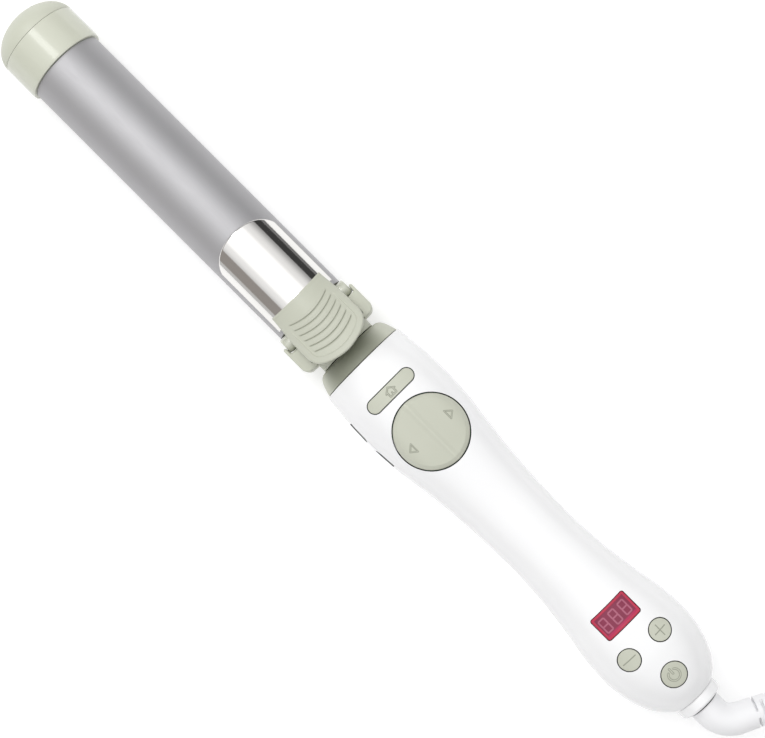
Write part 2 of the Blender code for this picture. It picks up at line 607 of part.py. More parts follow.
# ---------------------------------------------------------------- handle case
top_shell = shell_half("handle_top_shell", True, "white")
bottom_shell = shell_half("handle_bottom_shell", False, "white")
cut(top_shell, upright("rocker_opening", ROCKER[0], 0, circle(ROCKER[2] + 0.45, 32), 6, 26))
pill = rounded(HOME[3], HOME[2], HOME[3] / 2 - 0.001, 6)
pill_gap = rounded(HOME[3] + 0.7, HOME[2] + 0.7, HOME[3] / 2 + 0.349, 6)
cut(top_shell, upright("home_opening", HOME[0], 0, pill_gap, 10, 26))
cut(top_shell, upright("window_opening", WINDOW[0], 0, rounded(WINDOW[2] + 0.6, WINDOW[3] + 0.6, 1.1, 3), 8, 26))
for name, key in (("plus", PLUS), ("minus", MINUS), ("power", POWER)):
    cut(top_shell, upright(name + "_opening", key[0], key[1], circle(key[2] + 0.38, 22), 6, 26))
cut(top_shell, box("slider_opening", (SLIDER_X - 12.0, SLIDER_X + 11.6), (-24, -15.0), (2.4, 6.6), cutter=True))
# screw posts: a pillar on the top shell and a counterbored boss on the bottom shell
for name, x in (("front", 258.0), ("rear", 313.0)):
    _, up, down, _ = handle_at(x)
    joined(top_shell, rod("post_" + name, (x, 0, 0.6), (x, 0, up - 1.0), 3.6, cutter=True, seg=20))
    cut(top_shell, rod("pilot_" + name, (x, 0, -2), (x, 0, up - 5.0), 1.75, cutter=True, seg=16))
    joined(bottom_shell, rod("boss_" + name, (x, 0, -0.6), (x, 0, -down + 0.8), 5.2, cutter=True, seg=20))
    cut(bottom_shell, rod("shank_hole_" + name, (x, 0, 2), (x, 0, -down - 4), 1.75, cutter=True, seg=16))
    cut(bottom_shell, rod("head_hole_" + name, (x, 0, -6.0), (x, 0, -down - 4), 3.3, cutter=True, seg=20))
    turned("shell_screw_" + name, [(-up + 6.5, 0), (-up + 6.5, 1.4), (5.7, 1.4), (5.7, 2.9), (7.4, 2.9), (8.0, 2.2), (8.0, 0)], "steel", steps=16)
    screw = bpy.data.objects["shell_screw_" + name]
    screw.rotation_euler = (math.pi, 0, 0)
    screw.location = place(x, 0, -0.6)

# ---------------------------------------------------------------- boards, switches, display
plate("switch_board", [(199.5, -13.5), (246, -12.0), (246, 12.0), (199.5, 13.5)], "z", 8.8, 10.0, "board")
plate("display_board", [(317.5, -9.5), (352, -11.5), (361.5, -7.0), (361.5, 7.0), (352, 11.5), (317.5, 9.5)], "z", 7.6, 8.8, "board")
box("power_board", (264.0, 307.0), (-9.0, 9.0), (-4.6, -3.2), "board")
box("display_module", (322.9, 332.7), (-8.6, 8.6), (9.1, 14.4), "black", bevel=0.3)


def tact(name, x, y, z0, z1, z2, size=3.0):
    t = box(name, (x - size, x + size), (y - size, y + size), (z0, z1), "black")
    joined(t, rod(name + "_plunger", (x, y, z1 - 0.4), (x, y, z2), 0.5 * size, cutter=True, seg=12))


tact("home_switch", HOME[0], 0, 10.3, 13.4, 14.1)
tact("rocker_switch_left", ROCKER[0], 9.0, 10.3, 12.4, 13.2)
tact("rocker_switch_right", ROCKER[0], -9.0, 10.3, 12.4, 13.2)
tact("plus_switch", PLUS[0], PLUS[1], 9.1, 12.2, 12.9)
tact("minus_switch", MINUS[0], MINUS[1], 9.1, 12.2, 12.9)
tact("power_switch", POWER[0], 0, 9.1, 10.0, 10.5, 2.2)
box("slide_switch", (208.5, 225.1), (-15.8, -10.6), (1.2, 8.3), "steel")

# ---------------------------------------------------------------- keys
def ridge(dx, dy):
    """The rocker's low ridge, with each half falling a little towards the ridge's foot."""
    return 0.35 * math.exp(-((dy / 0.9) ** 2)) - 0.45 * math.sin(min(1.0, abs(dy) / 12.0) * math.pi) ** 2


rocker = conforming("direction_rocker", ROCKER[0], 0, circle(ROCKER[2], 32), 0.6, 2.6, "sage", rim=0.7, rings=(0.15, 0.5, 0.8, 0.93, 1.0), crown=ridge, on="rocker_axis")
joined(rocker, box("rocker_rib", (ROCKER[0] - 11, ROCKER[0] + 11), (-1.4, 1.4), (11.6, 17.2), cutter=True))
conforming("home_button", HOME[0], 0, pill, 0.25, 0, "sage", rim=0.25, bottom=14.9, rings=(0.5, 0.92, 1.0), on="home_axis")
conforming("plus_button", PLUS[0], PLUS[1], circle(PLUS[2], 22), 0.3, 0, "sage", rim=0.25, bottom=13.7, rings=(0.5, 0.92, 1.0), on="plus_axis")
conforming("minus_button", MINUS[0], MINUS[1], circle(MINUS[2], 22), 0.3, 0, "sage", rim=0.25, bottom=13.7, rings=(0.5, 0.92, 1.0), on="minus_axis")
conforming("power_button", POWER[0], 0, circle(POWER[2], 22), 0.3, 0, "sage", rim=0.25, bottom=11.4, rings=(0.5, 0.92, 1.0), on="power_axis")
conforming("display_window", WINDOW[0], 0, rounded(WINDOW[2], WINDOW[3], 0.8, 3), 0.05, 1.5, "display", rings=(0.4, 0.8, 1.0))
slider = plate(
    "speed_slider",
    [(SLIDER_X - 5.4, -16.2), (SLIDER_X - 5.4, -19.9), (SLIDER_X - 2.6, -20.3), (SLIDER_X - 1.2, -21.6), (SLIDER_X + 1.2, -21.6), (SLIDER_X + 2.6, -20.3), (SLIDER_X + 5.4, -19.9), (SLIDER_X + 5.4, -16.2)],
    "z", 2.8, 6.2, "white", on="slider_axis",
)

# ---------------------------------------------------------------- swivel
turned(
    "swivel_retainer",
    [(366.3, 7.2), (366.3, 10.0), (368.3, 10.0), (368.3, 7.65), (RING_X[0], 7.65), (RING_X[0], 9.1), (374.2, 9.5), (377.2, 9.5), (RING_X[1], 8.9), (RING_X[1], 7.2)],
    "white", steps=24,
)
turned("swivel_plug", [(362.0, 4.0), (362.0, 8.4), (365.9, 8.4), (365.9, 6.85), (377.9, 6.85), (377.9, 4.0)], "black", on="swivel_axis", steps=20)


# the relief leaves along the axis and turns 63.7 degrees towards +y
def relief_line(n=14):
    """Centre line of the strain relief: 5 mm straight, a bend of radius 10 mm, then straight."""
    turn, r, lead, tail = math.radians(63.7), 10.0, 5.2, 19.7
    pts = []
    total = lead + r * turn + tail
    for i in range(n + 1):
        s = total * i / n
        if s <= lead:
            pts.append((378.3 + s, 0.0, 0.0))
        elif s <= lead + r * turn:
            a = (s - lead) / r
            pts.append((378.3 + lead + r * math.sin(a), r * (1 - math.cos(a)), 0.0))
        else:
            t = s - lead - r * turn
            pts.append((378.3 + lead + r * math.sin(turn) + t * math.cos(turn), r * (1 - math.cos(turn)) + t * math.sin(turn), 0.0))
    return pts


line = relief_line()
taper = [(RELIEF_R[0] + (RELIEF_R[1] - RELIEF_R[0]) * i / (len(line) - 1)) / RELIEF_R[0] for i in range(len(line))]
tube("strain_relief", line, RELIEF_R[0], "white", on="swivel_axis", radii=taper, res=3)

# ---------------------------------------------------------------- mains lead: route, hank, tie, tail and plug
LOOP_Y = 21.4             # middle of the hank
LOOP_X0 = 476.0           # centre of the hank's near loops
LOOP_X1 = LOOP_X0 + HANK_RUN
FLOOR = -AXIS_Z
HANK_Z = (FLOOR + 1.3, FLOOR + 1.3 + HANK_LAYERS * CORD_D)


def lead_line():
    """From the relief's end: round to +x on a 30 mm radius while it comes down on to the floor."""
    turn, r = math.radians(63.7), 30.0
    ex, ey, _ = line[-1]
    d = (math.cos(turn), math.sin(turn))
    start = (ex + 0.35 * d[0], ey + 0.35 * d[1])
    stop_x = LOOP_X0 - 20.4
    straight = 3.0
    cx, cy = start[0] + straight * d[0], start[1] + straight * d[1]
    level = cy + r * (1 - math.cos(turn))
    bend = r * turn
    over = stop_x - (cx + r * math.sin(turn))
    total = straight + bend + over
    pts, n = [], 22
    for i in range(n + 1):
        s = total * i / n
        if s < straight:
            p = (start[0] + s * d[0], start[1] + s * d[1])
        elif s < straight + bend:
            a = turn - (s - straight) / r
            p = (cx + r * (math.sin(turn) - math.sin(a)), cy + r * (math.cos(a) - math.cos(turn)))
        else:
            p = (cx + r * math.sin(turn) + s - straight - bend, level)
        z = (HANK_Z[0] + CORD_D / 2) * ramp(s, 0, total)
        pts.append((p[0], p[1], z))
    return pts, level


lead, level = lead_line()
tube("cord_lead", lead, CORD_D / 2, "cord", on="swivel_axis", res=2)
LOOP_Y = level - LOOP_R[1]


def waist(x):
    """Half width of the tied bundle between its end loops."""
    u = (x - LOOP_X0) / HANK_RUN
    return 12.2 + (LOOP_R[1] + 3 - 12.2) * (0.5 + 0.5 * math.cos(2 * math.pi * u))


upper, lower = [], []
upper.append((LOOP_X0 - 20.0, LOOP_Y + 27.0))
for i in range(1, 16):
    x = LOOP_X0 + HANK_RUN * i / 16
    upper.append((x, LOOP_Y + (27.0 if x < LOOP_X0 + 3 else waist(x))))
right = arc(LOOP_X1, LOOP_Y, 27.0, 90, -90, 14)
step_x = LOOP_X1 - 5.0
lower = [(step_x, LOOP_Y - 27.0), (step_x, LOOP_Y - 20.6)]
for i in range(13, 0, -1):
    x = LOOP_X0 + HANK_RUN * i / 14
    if x < step_x - 1:
        lower.append((x, LOOP_Y - min(waist(x), 20.6 if x > LOOP_X0 + HANK_RUN * 0.4 else 99)))
left = arc(LOOP_X0, LOOP_Y, 27.0, 270, 141, 11)
plate("cord_hank", upper + right + lower + left + [(LOOP_X0 - 20.0, LOOP_Y + 20.0)], "z", HANK_Z[0], HANK_Z[1], "cord")

# the tie: a flat band round the middle of the bundle
MID = (LOOP_X0 + LOOP_X1) / 2
tie = box("cord_tie", (MID - 5, MID + 5), (LOOP_Y - 13.9, LOOP_Y + 13.9), (FLOOR, HANK_Z[1] + 1.3), "black", bevel=0.8)
cut(tie, box("tie_inside", (MID - 9, MID + 9), (LOOP_Y - 12.9, LOOP_Y + 12.9), (HANK_Z[0] - 0.3, HANK_Z[1] + 0.3), cutter=True))

# the tail leaves the far loop on the top layer and comes down beside the bundle to the plug
PLUG_Y = -15.5
PLUG_Z = FLOOR + 11.2
PLUG_X = LOOP_X0 + 22.0
tail_from = (step_x - 0.35, LOOP_Y - LOOP_R[1], HANK_Z[1] - CORD_D / 2)
tail_to = (PLUG_X, PLUG_Y, PLUG_Z)
tail = []
for i in range(17):
    u = i / 16
    w = u * u * (3 - 2 * u)
    tail.append((tail_from[0] + (tail_to[0] - tail_from[0]) * u, tail_from[1] + (tail_to[1] - tail_from[1]) * w, tail_from[2] + (tail_to[2] - tail_from[2]) * w))
tube("cord_tail", tail, CORD_D / 2, "cord", res=2)

# two-blade plug lying on its narrow side, with its boot towards the tail
body_outline = [(PLUG_X - 0.35, PLUG_Z - 4.6), (PLUG_X - 0.35, PLUG_Z + 4.6), (PLUG_X - 12, PLUG_Z + 6.6), (PLUG_X - 17, PLUG_Z + 10.9), (PLUG_X - 34, PLUG_Z + 10.9), (PLUG_X - 34, PLUG_Z - 10.9), (PLUG_X - 17, PLUG_Z - 10.9), (PLUG_X - 12, PLUG_Z - 6.6)]
plug = plate("plug_body", body_outline, "y", PLUG_Y - 6.5, PLUG_Y + 6.5, "white", bevel=1.6)
for side, s in (("upper", 1), ("lower", -1)):
    z = PLUG_Z + s * 6.35
    cut(plug, box("blade_seat_" + side, (PLUG_X - 40, PLUG_X - 24), (PLUG_Y - 3.6, PLUG_Y + 3.6), (z - 1.15, z + 1.15), cutter=True))
    box("plug_blade_" + side, (PLUG_X - 51, PLUG_X - 24.5), (PLUG_Y - 3.2, PLUG_Y + 3.2), (z - 0.75, z + 0.75), "brass", bevel=0.4)
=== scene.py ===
"""Looks of the rotating curling iron: fine meshes, materials, lead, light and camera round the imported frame.

Millimetre positions are in the iron's own coordinates, as in the CAD: x from the tip of the cap, y across, z up
through the control face, with y = z = 0 on the barrel's axis. P() turns them into metres in the frame.
"""

import json
import math

import bmesh
import bpy
import numpy as np
from mathutils import Matrix, Vector


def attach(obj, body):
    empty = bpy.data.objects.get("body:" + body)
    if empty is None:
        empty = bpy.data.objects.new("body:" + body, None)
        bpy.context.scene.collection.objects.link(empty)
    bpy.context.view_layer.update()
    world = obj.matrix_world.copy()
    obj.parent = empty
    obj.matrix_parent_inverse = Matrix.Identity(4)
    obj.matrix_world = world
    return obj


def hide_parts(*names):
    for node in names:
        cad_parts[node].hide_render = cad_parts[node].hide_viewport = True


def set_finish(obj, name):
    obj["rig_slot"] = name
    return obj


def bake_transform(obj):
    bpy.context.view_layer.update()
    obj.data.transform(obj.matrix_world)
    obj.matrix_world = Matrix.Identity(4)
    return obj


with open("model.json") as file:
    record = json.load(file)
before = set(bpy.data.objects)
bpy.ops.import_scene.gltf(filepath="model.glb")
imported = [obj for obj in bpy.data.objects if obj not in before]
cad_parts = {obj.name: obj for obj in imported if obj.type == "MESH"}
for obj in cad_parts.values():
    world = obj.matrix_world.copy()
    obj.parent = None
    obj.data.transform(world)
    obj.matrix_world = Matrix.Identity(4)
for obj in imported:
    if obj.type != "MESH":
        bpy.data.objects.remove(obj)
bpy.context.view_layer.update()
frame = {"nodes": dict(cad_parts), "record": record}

# ---------------------------------------------------------------- dimensions shared with the CAD, millimetres
AXIS_Z = 19.5
BODY_LENGTH = 378.0
BARREL_R, BARREL_BORE, BARREL_X = 16.0, 14.6, (27.8, 162.2)
CAP_R, CAP_X = 17.25, (0.8, 12.2, 27.4)
PLATE_X, PLATE_R, PLATE_HALF = (122.0, 160.5), (16.3, 17.1), math.radians(57.5)
PIVOT = (166.0, 7.0)
LEVER_HALF, LEVER_END = 13.7, 185.0
NECK_R, COLLAR_X, COLLAR_R = 12.9, (183.8, 191.3), 18.5
WALL = 2.2
HOME, ROCKER = (207.0, 0.0, 22.5, 5.6), (228.9, 0.0, 14.8)
WINDOW, SLIDER_X = (327.8, 0.0, 10.2, 16.8), 216.8
PLUS, MINUS, POWER = (343.2, 8.2, 4.3), (343.2, -8.2, 4.3), (359.2, 0.0, 5.05)
CORD_D = 6.0
STATIONS = (
    (191.6, 19.2, 19.0, 19.1), (200.0, 20.1, 19.3, 19.7), (209.0, 20.75, 19.4, 20.1), (216.0, 20.87, 19.2, 20.3),
    (228.0, 20.3, 18.6, 20.0), (240.0, 18.75, 17.5, 18.8), (256.0, 16.85, 16.1, 17.1), (272.0, 15.8, 15.2, 16.0),
    (290.0, 15.4, 15.0, 15.7), (306.0, 16.25, 15.7, 16.5), (322.0, 18.3, 17.2, 18.6), (336.0, 20.6, 18.7, 20.2),
    (346.5, 21.2, 19.0, 20.4), (354.0, 20.4, 18.3, 19.9), (361.0, 18.55, 16.8, 18.2), (366.5, 16.1, 14.8, 15.9),
    (370.5, 13.1, 12.3, 13.0), (373.2, 10.2, 10.0, 10.2),
)


def P(p):
    p = np.asarray(p, float)
    return (p + np.array([-BODY_LENGTH / 2, 0, AXIS_Z])) / 1000


# ================================================================ materials
def new_material(name):
    m = bpy.data.materials.new(name)
    m.use_nodes = True
    return m, m.node_tree.nodes, m.node_tree.links, m.node_tree.nodes["Principled BSDF"]


def noise(nodes, links, scale, detail=4.0, rough=0.6, coords="Object", stretch=None):
    tc = nodes.new("ShaderNodeTexCoord")
    n = nodes.new("ShaderNodeTexNoise")
    n.inputs["Scale"].default_value = scale
    n.inputs["Detail"].default_value = detail
    n.inputs["Roughness"].default_value = rough
    if stretch:
        mp = nodes.new("ShaderNodeMapping")
        mp.inputs["Scale"].default_value = stretch
        links.new(tc.outputs[coords], mp.inputs["Vector"])
        links.new(mp.outputs["Vector"], n.inputs["Vector"])
    else:
        links.new(tc.outputs[coords], n.inputs["Vector"])
    return n


def ranged(nodes, links, source, lo, hi, low=0.22, high=0.78):
    r = nodes.new("ShaderNodeMapRange")
    r.interpolation_type = "SMOOTHERSTEP"
    r.inputs["From Min"].default_value, r.inputs["From Max"].default_value = low, high
    r.inputs["To Min"].default_value, r.inputs["To Max"].default_value = lo, hi
    links.new(source, r.inputs["Value"])
    return r.outputs["Result"]


def two_tone(nodes, links, fac, a, b):
    mx = nodes.new("ShaderNodeMix")
    mx.data_type = "RGBA"
    mx.inputs["A"].default_value = (*a, 1)
    mx.inputs["B"].default_value = (*b, 1)
    links.new(fac, mx.inputs["Factor"])
    return mx.outputs["Result"]


def bump(nodes, links, height, strength, distance, bsdf):
    b = nodes.new("ShaderNodeBump")
    b.inputs["Strength"].default_value = strength
    b.inputs["Distance"].default_value = distance
    links.new(height, b.inputs["Height"])
    links.new(b.outputs["Normal"], bsdf.inputs["Normal"])


def moulded(name, a, b, rough, grain=0.06, grain_scale=2600, coat=0.0, spec=0.5, painted_shade=None):
    """Moulded plastic: a slow drift of colour and gloss, a fine spark-eroded grain and, where given a shade colour,
    painted shade: the mesh's per-point attribute darkens its engraved lines, gaps and hollows towards that colour."""
    m, n, l, s = new_material(name)
    slow = noise(n, l, 22.0, 3.0, 0.55)
    colour = two_tone(n, l, ranged(n, l, slow.outputs["Fac"], 0, 1), a, b)
    if painted_shade:
        at = n.new("ShaderNodeAttribute")
        at.attribute_name = "painted_shade"
        mx = n.new("ShaderNodeMix")
        mx.data_type = "RGBA"
        mx.inputs["B"].default_value = (*painted_shade, 1)
        l.new(at.outputs["Fac"], mx.inputs["Factor"])
        l.new(colour, mx.inputs["A"])
        colour = mx.outputs["Result"]
    l.new(colour, s.inputs["Base Color"])
    fine = noise(n, l, grain_scale, 2.0, 0.5)
    l.new(ranged(n, l, slow.outputs["Fac"], rough * 0.94, rough * 1.06), s.inputs["Roughness"])
    bump(n, l, fine.outputs["Fac"], grain, 0.00006, s)
    s.inputs["Specular IOR Level"].default_value = spec
    if coat:
        s.inputs["Coat Weight"].default_value = coat
        s.inputs["Coat Roughness"].default_value = 0.08
    return m


def metal(name, a, b, rough, grain=0.05, stretch=(40, 900, 900), scale=3.0, metallic=1.0, vary=0.15):
    m, n, l, s = new_material(name)
    slow = noise(n, l, 30.0)
    l.new(two_tone(n, l, ranged(n, l, slow.outputs["Fac"], 0, 1), a, b), s.inputs["Base Color"])
    s.inputs["Metallic"].default_value = metallic
    fine = noise(n, l, scale, 3.0, 0.6, stretch=stretch)
    l.new(ranged(n, l, fine.outputs["Fac"], rough * (1 - vary), rough * (1 + vary)), s.inputs["Roughness"])
    bump(n, l, fine.outputs["Fac"], grain, 0.00003, s)
    return m


SAGE_A, SAGE_B = (0.555, 0.569, 0.474), (0.575, 0.589, 0.494)
# colour of the painted shade laid into grooves, gaps round the keys and the collar's pocket
SAGE_PAINTED_SHADE = (0.19, 0.20, 0.15)
M = {
    "sage": moulded("sage_satin", SAGE_A, SAGE_B, 0.42, 0.10, spec=0.36),
    # the lever's sage is painted 7% darker than the rest: painted shade that tempers the light on its raised top. It
    # also takes painted shade in its grooves
    "sage_lever_painted_shade": moulded("sage_lever_painted_shade", tuple(0.93 * c for c in SAGE_A), tuple(0.93 * c for c in SAGE_B), 0.42, 0.10, spec=0.36, painted_shade=SAGE_PAINTED_SHADE),
    # sage with painted shade wherever the mesh asks for it: the keys, the grooves round their symbols, their walls and
    # the collar
    "sage_painted_shade": moulded("sage_painted_shade", SAGE_A, SAGE_B, 0.42, 0.10, spec=0.36, painted_shade=SAGE_PAINTED_SHADE),
    "sage_boss": moulded("sage_boss", SAGE_A, SAGE_B, 0.20, 0.02, coat=1.0, spec=0.8),
    "sage_gloss": moulded("sage_gloss", tuple(1.05 * c for c in SAGE_A), tuple(1.05 * c for c in SAGE_B), 0.20, 0.03, coat=0.30, spec=0.42),
    "white": moulded("white_shell", (0.907, 0.907, 0.911), (0.919, 0.919, 0.920), 0.255, 0.03, coat=0.25),
    "white_soft": moulded("white_soft", (0.86, 0.86, 0.86), (0.90, 0.90, 0.895), 0.5, 0.14, 1800),
    # white boot with painted shade in the recessed waist at its root
    "white_boot_painted_shade": moulded("white_boot_painted_shade", (0.87, 0.87, 0.88), (0.90, 0.90, 0.91), 0.45, 0.12, 1800, painted_shade=(0.05, 0.05, 0.055)),
    # near-black painted shade for the shell's inside, its parting line and the walls of its openings
    "inner": moulded("shell_inside_painted_shade", (0.10, 0.10, 0.10), (0.13, 0.13, 0.13), 0.6, 0.1),
    "cord": moulded("white_jacket", (0.82, 0.82, 0.815), (0.88, 0.88, 0.87), 0.42, 0.10, 1500),
    "black": moulded("black_plastic", (0.018, 0.018, 0.019), (0.03, 0.03, 0.031), 0.5, 0.10),
    "board": moulded("circuit_board", (0.02, 0.14, 0.055), (0.035, 0.19, 0.08), 0.45, 0.10),
    "ceramic": moulded("ceramic", (0.75, 0.73, 0.68), (0.83, 0.81, 0.77), 0.7, 0.2),
    "barrel": metal("barrel_coat", (0.475, 0.471, 0.481), (0.493, 0.489, 0.499), 0.62, 0.03, metallic=0.85, vary=0.03),
    "chrome": metal("chrome", (0.80, 0.787, 0.765), (0.84, 0.827, 0.805), 0.075, 0.02),
    "steel": metal("steel", (0.46, 0.46, 0.47), (0.56, 0.56, 0.57), 0.34, 0.10),
    "alu": metal("aluminium", (0.66, 0.67, 0.69), (0.74, 0.75, 0.76), 0.38, 0.10),
    "brass": metal("brass", (0.66, 0.50, 0.24), (0.76, 0.60, 0.33), 0.34, 0.08),
    "blade": metal("nickel_blade", (0.62, 0.60, 0.56), (0.72, 0.70, 0.66), 0.22, 0.05),
}


def lens_material():
    """Red display lens: a body whose tint comes from the mesh (rim, field and the unlit segments)."""
    m, n, l, s = new_material("red_lens")
    at = n.new("ShaderNodeAttribute")
    at.attribute_name = "tint"
    slow = noise(n, l, 160.0, 3.0, 0.6)
    mx = n.new("ShaderNodeMix")
    mx.data_type, mx.blend_type = "RGBA", "MULTIPLY"
    mx.inputs["Factor"].default_value = 1.0
    l.new(at.outputs["Color"], mx.inputs["A"])
    l.new(two_tone(n, l, ranged(n, l, slow.outputs["Fac"], 0, 1), (0.90, 0.90, 0.90), (1.0, 1.0, 1.0)), mx.inputs["B"])
    l.new(mx.outputs["Result"], s.inputs["Base Color"])
    l.new(ranged(n, l, slow.outputs["Fac"], 0.285, 0.32), s.inputs["Roughness"])
    s.inputs["Specular IOR Level"].default_value = 0.22
    return m


def woven_material():
    """Nylon hook-and-loop strap: crossing ribs over a fuzzy noise."""
    m, n, l, s = new_material("strap_weave")
    tc = n.new("ShaderNodeTexCoord")
    waves = []
    for direction in ("X", "Y", "Z"):
        w = n.new("ShaderNodeTexWave")
        w.wave_type, w.bands_direction = "BANDS", direction
        w.inputs["Scale"].default_value = 420
        w.inputs["Distortion"].default_value = 1.2
        l.new(tc.outputs["Object"], w.inputs["Vector"])
        waves.append(w)
    a = n.new("ShaderNodeMath")
    a.operation = "MULTIPLY"
    l.new(waves[0].outputs["Fac"], a.inputs[0])
    l.new(waves[1].outputs["Fac"], a.inputs[1])
    b = n.new("ShaderNodeMath")
    b.operation = "ADD"
    l.new(a.outputs[0], b.inputs[0])
    l.new(waves[2].outputs["Fac"], b.inputs[1])
    l.new(two_tone(n, l, ranged(n, l, b.outputs[0], 0, 1, 0.2, 1.6), (0.012, 0.012, 0.013), (0.055, 0.055, 0.058)), s.inputs["Base Color"])
    s.inputs["Roughness"].default_value = 0.85
    s.inputs["Sheen Weight"].default_value = 0.3
    bump(n, l, b.outputs[0], 0.5, 0.0001, s)
    return m


M["lens"] = lens_material()
M["strap"] = woven_material()


# ================================================================ mesh helpers
def make(name, verts, faces, mat, angle=30, colour=None, painted_shade=None):
    """An object from points in millimetres. Faces are turned outwards."""
    me = bpy.data.meshes.new(name)
    me.from_pydata(P(verts).tolist(), [], [list(map(int, f)) for f in faces])
    me.validate()
    for key, values, kind in (("tint", colour, "FLOAT_COLOR"), ("painted_shade", painted_shade, "FLOAT")):
        if values is not None:
            at = me.attributes.new(key, kind, "POINT")
            if kind == "FLOAT":
                at.data.foreach_set("value", np.asarray(values, np.float32))
            else:
                at.data.foreach_set("color", np.asarray(values, np.float32).ravel())
    bm = bmesh.new()
    bm.from_mesh(me)
    bmesh.ops.remove_doubles(bm, verts=bm.verts[:], dist=2e-7)
    bmesh.ops.recalc_face_normals(bm, faces=bm.faces[:])
    if bm.calc_volume(signed=True) < 0:
        bmesh.ops.reverse_faces(bm, faces=bm.faces[:])
    bm.to_mesh(me)
    bm.free()
    me.shade_smooth()
    me.set_sharp_from_angle(angle=math.radians(angle))
    o = bpy.data.objects.new(name, me)
    bpy.context.scene.collection.objects.link(o)
    if mat:
        me.materials.append(mat)
    return o


def quads(nu, nv, wrap_u=False, wrap_v=False, base=0, flip=False):
    out = []
    for i in range(nu if wrap_u else nu - 1):
        for j in range(nv if wrap_v else nv - 1):
            a, b = base + i * nv + j, base + ((i + 1) % nu) * nv + j
            c, d = base + ((i + 1) % nu) * nv + (j + 1) % nv, base + i * nv + (j + 1) % nv
            out.append((a, d, c, b) if flip else (a, b, c, d))
    return out


def softened(points, r, closed=True, n=5, sharp=20):
    """The outline with its corners rounded. r is one radius or one for each corner."""
    pts = [np.asarray(p, float) for p in points]
    out = []
    for i, p in enumerate(pts):
        if not closed and i in (0, len(pts) - 1):
            out.append(p)
            continue
        a, b = pts[i - 1], pts[(i + 1) % len(pts)]
        u, v = a - p, b - p
        lu, lv = np.linalg.norm(u), np.linalg.norm(v)
        u, v = u / lu, v / lv
        turn = 180 - math.degrees(math.acos(max(-1, min(1, float(u @ v)))))
        radius = r[i] if isinstance(r, (list, tuple)) else r
        if turn < sharp or radius <= 0:
            out.append(p)
            continue
        d = min(radius * math.tan(math.radians(turn) / 2), 0.45 * lu, 0.45 * lv)
        for k in range(n + 1):
            t = k / n
            out.append((1 - t) ** 2 * (p + d * u) + 2 * t * (1 - t) * p + t * t * (p + d * v))
    return out


def lathe(name, profile, mat, seg=128, centre=(0.0, 0.0), closed=True, x_of=None, angle=30, shade=None):
    """A turned piece about a line along x; profile is (x, radius)."""
    prof = [tuple(map(float, p)) for p in profile]
    t = np.linspace(0, 2 * math.pi, seg, endpoint=False)
    verts = []
    for x, r in prof:
        r = max(r, 0.0)
        for a in t:
            verts.append((x, centre[0] + r * math.sin(a), centre[1] + r * math.cos(a)))
    painted_shade = None if shade is None else [shade(x, r, a) for x, r in prof for a in t]
    return make(name, verts, quads(len(prof), seg, wrap_u=closed, wrap_v=True), mat, angle, painted_shade=painted_shade)


def extrude(name, outline, axis, lo, hi, mat, bevel=0.0, segs=3, angle=30):
    """A flat outline pulled out along an axis, with rounded edges. Pairs are (x, y), (x, z) or (y, z)."""
    n = len(outline)

    def at(u, w, t):
        return {"z": (u, w, t), "y": (u, t, w), "x": (t, u, w)}[axis]

    verts = [at(u, w, lo) for u, w in outline] + [at(u, w, hi) for u, w in outline]
    faces = [tuple(range(n))[::-1], tuple(range(n, 2 * n))] + [(i, (i + 1) % n, n + (i + 1) % n, n + i) for i in range(n)]
    o = make(name, verts, faces, mat, angle)
    if bevel:
        b = o.modifiers.new("edge", "BEVEL")
        b.width, b.segments, b.limit_method, b.angle_limit = bevel / 1000, segs, "ANGLE", math.radians(50)
    return o


def applied(o):
    """Bakes an object's modifiers into its mesh."""
    bpy.context.view_layer.update()
    me = bpy.data.meshes.new_from_object(o.evaluated_get(bpy.context.evaluated_depsgraph_get()))
    o.modifiers.clear()
    old = o.data
    o.data = me
    bpy.data.meshes.remove(old)
    return o


def combine(o, others, how):
    for k in others:
        m = o.modifiers.new(k.name, "BOOLEAN")
        m.operation, m.solver, m.object = how, "EXACT", k
    applied(o)
    for k in others:
        bpy.data.objects.remove(k, do_unlink=True)
    return o


def cut(o, *others):
    return combine(o, others, "DIFFERENCE")


def union(o, *others):
    return combine(o, others, "UNION")


def shaded(o, angle=30):
    o.data.shade_smooth()
    o.data.set_sharp_from_angle(angle=math.radians(angle))
    return o


def arc(cx, cy, r, a0, a1, n):
    return [(cx + r * math.cos(math.radians(a0 + (a1 - a0) * i / n)), cy + r * math.sin(math.radians(a0 + (a1 - a0) * i / n))) for i in range(n + 1)]


def circle(r, n, cx=0.0, cy=0.0):
    return [(cx + r * math.cos(2 * math.pi * i / n), cy + r * math.sin(2 * math.pi * i / n)) for i in range(n)]


def rounded(length, width, r, n=8):
    a, b = length / 2 - r, width / 2 - r
    return arc(a, b, r, 0, 90, n) + arc(-a, b, r, 90, 180, n) + arc(-a, -b, r, 180, 270, n) + arc(a, -b, r, 270, 360, n)


def resampled(points, n, closed=True):
    p = np.asarray(points + ([points[0]] if closed else []), float)
    d = np.r_[0, np.cumsum(np.linalg.norm(np.diff(p, axis=0), axis=1))]
    t = np.linspace(0, d[-1], n, endpoint=not closed)
    return np.c_[[np.interp(t, d, p[:, k]) for k in range(p.shape[1])]].T


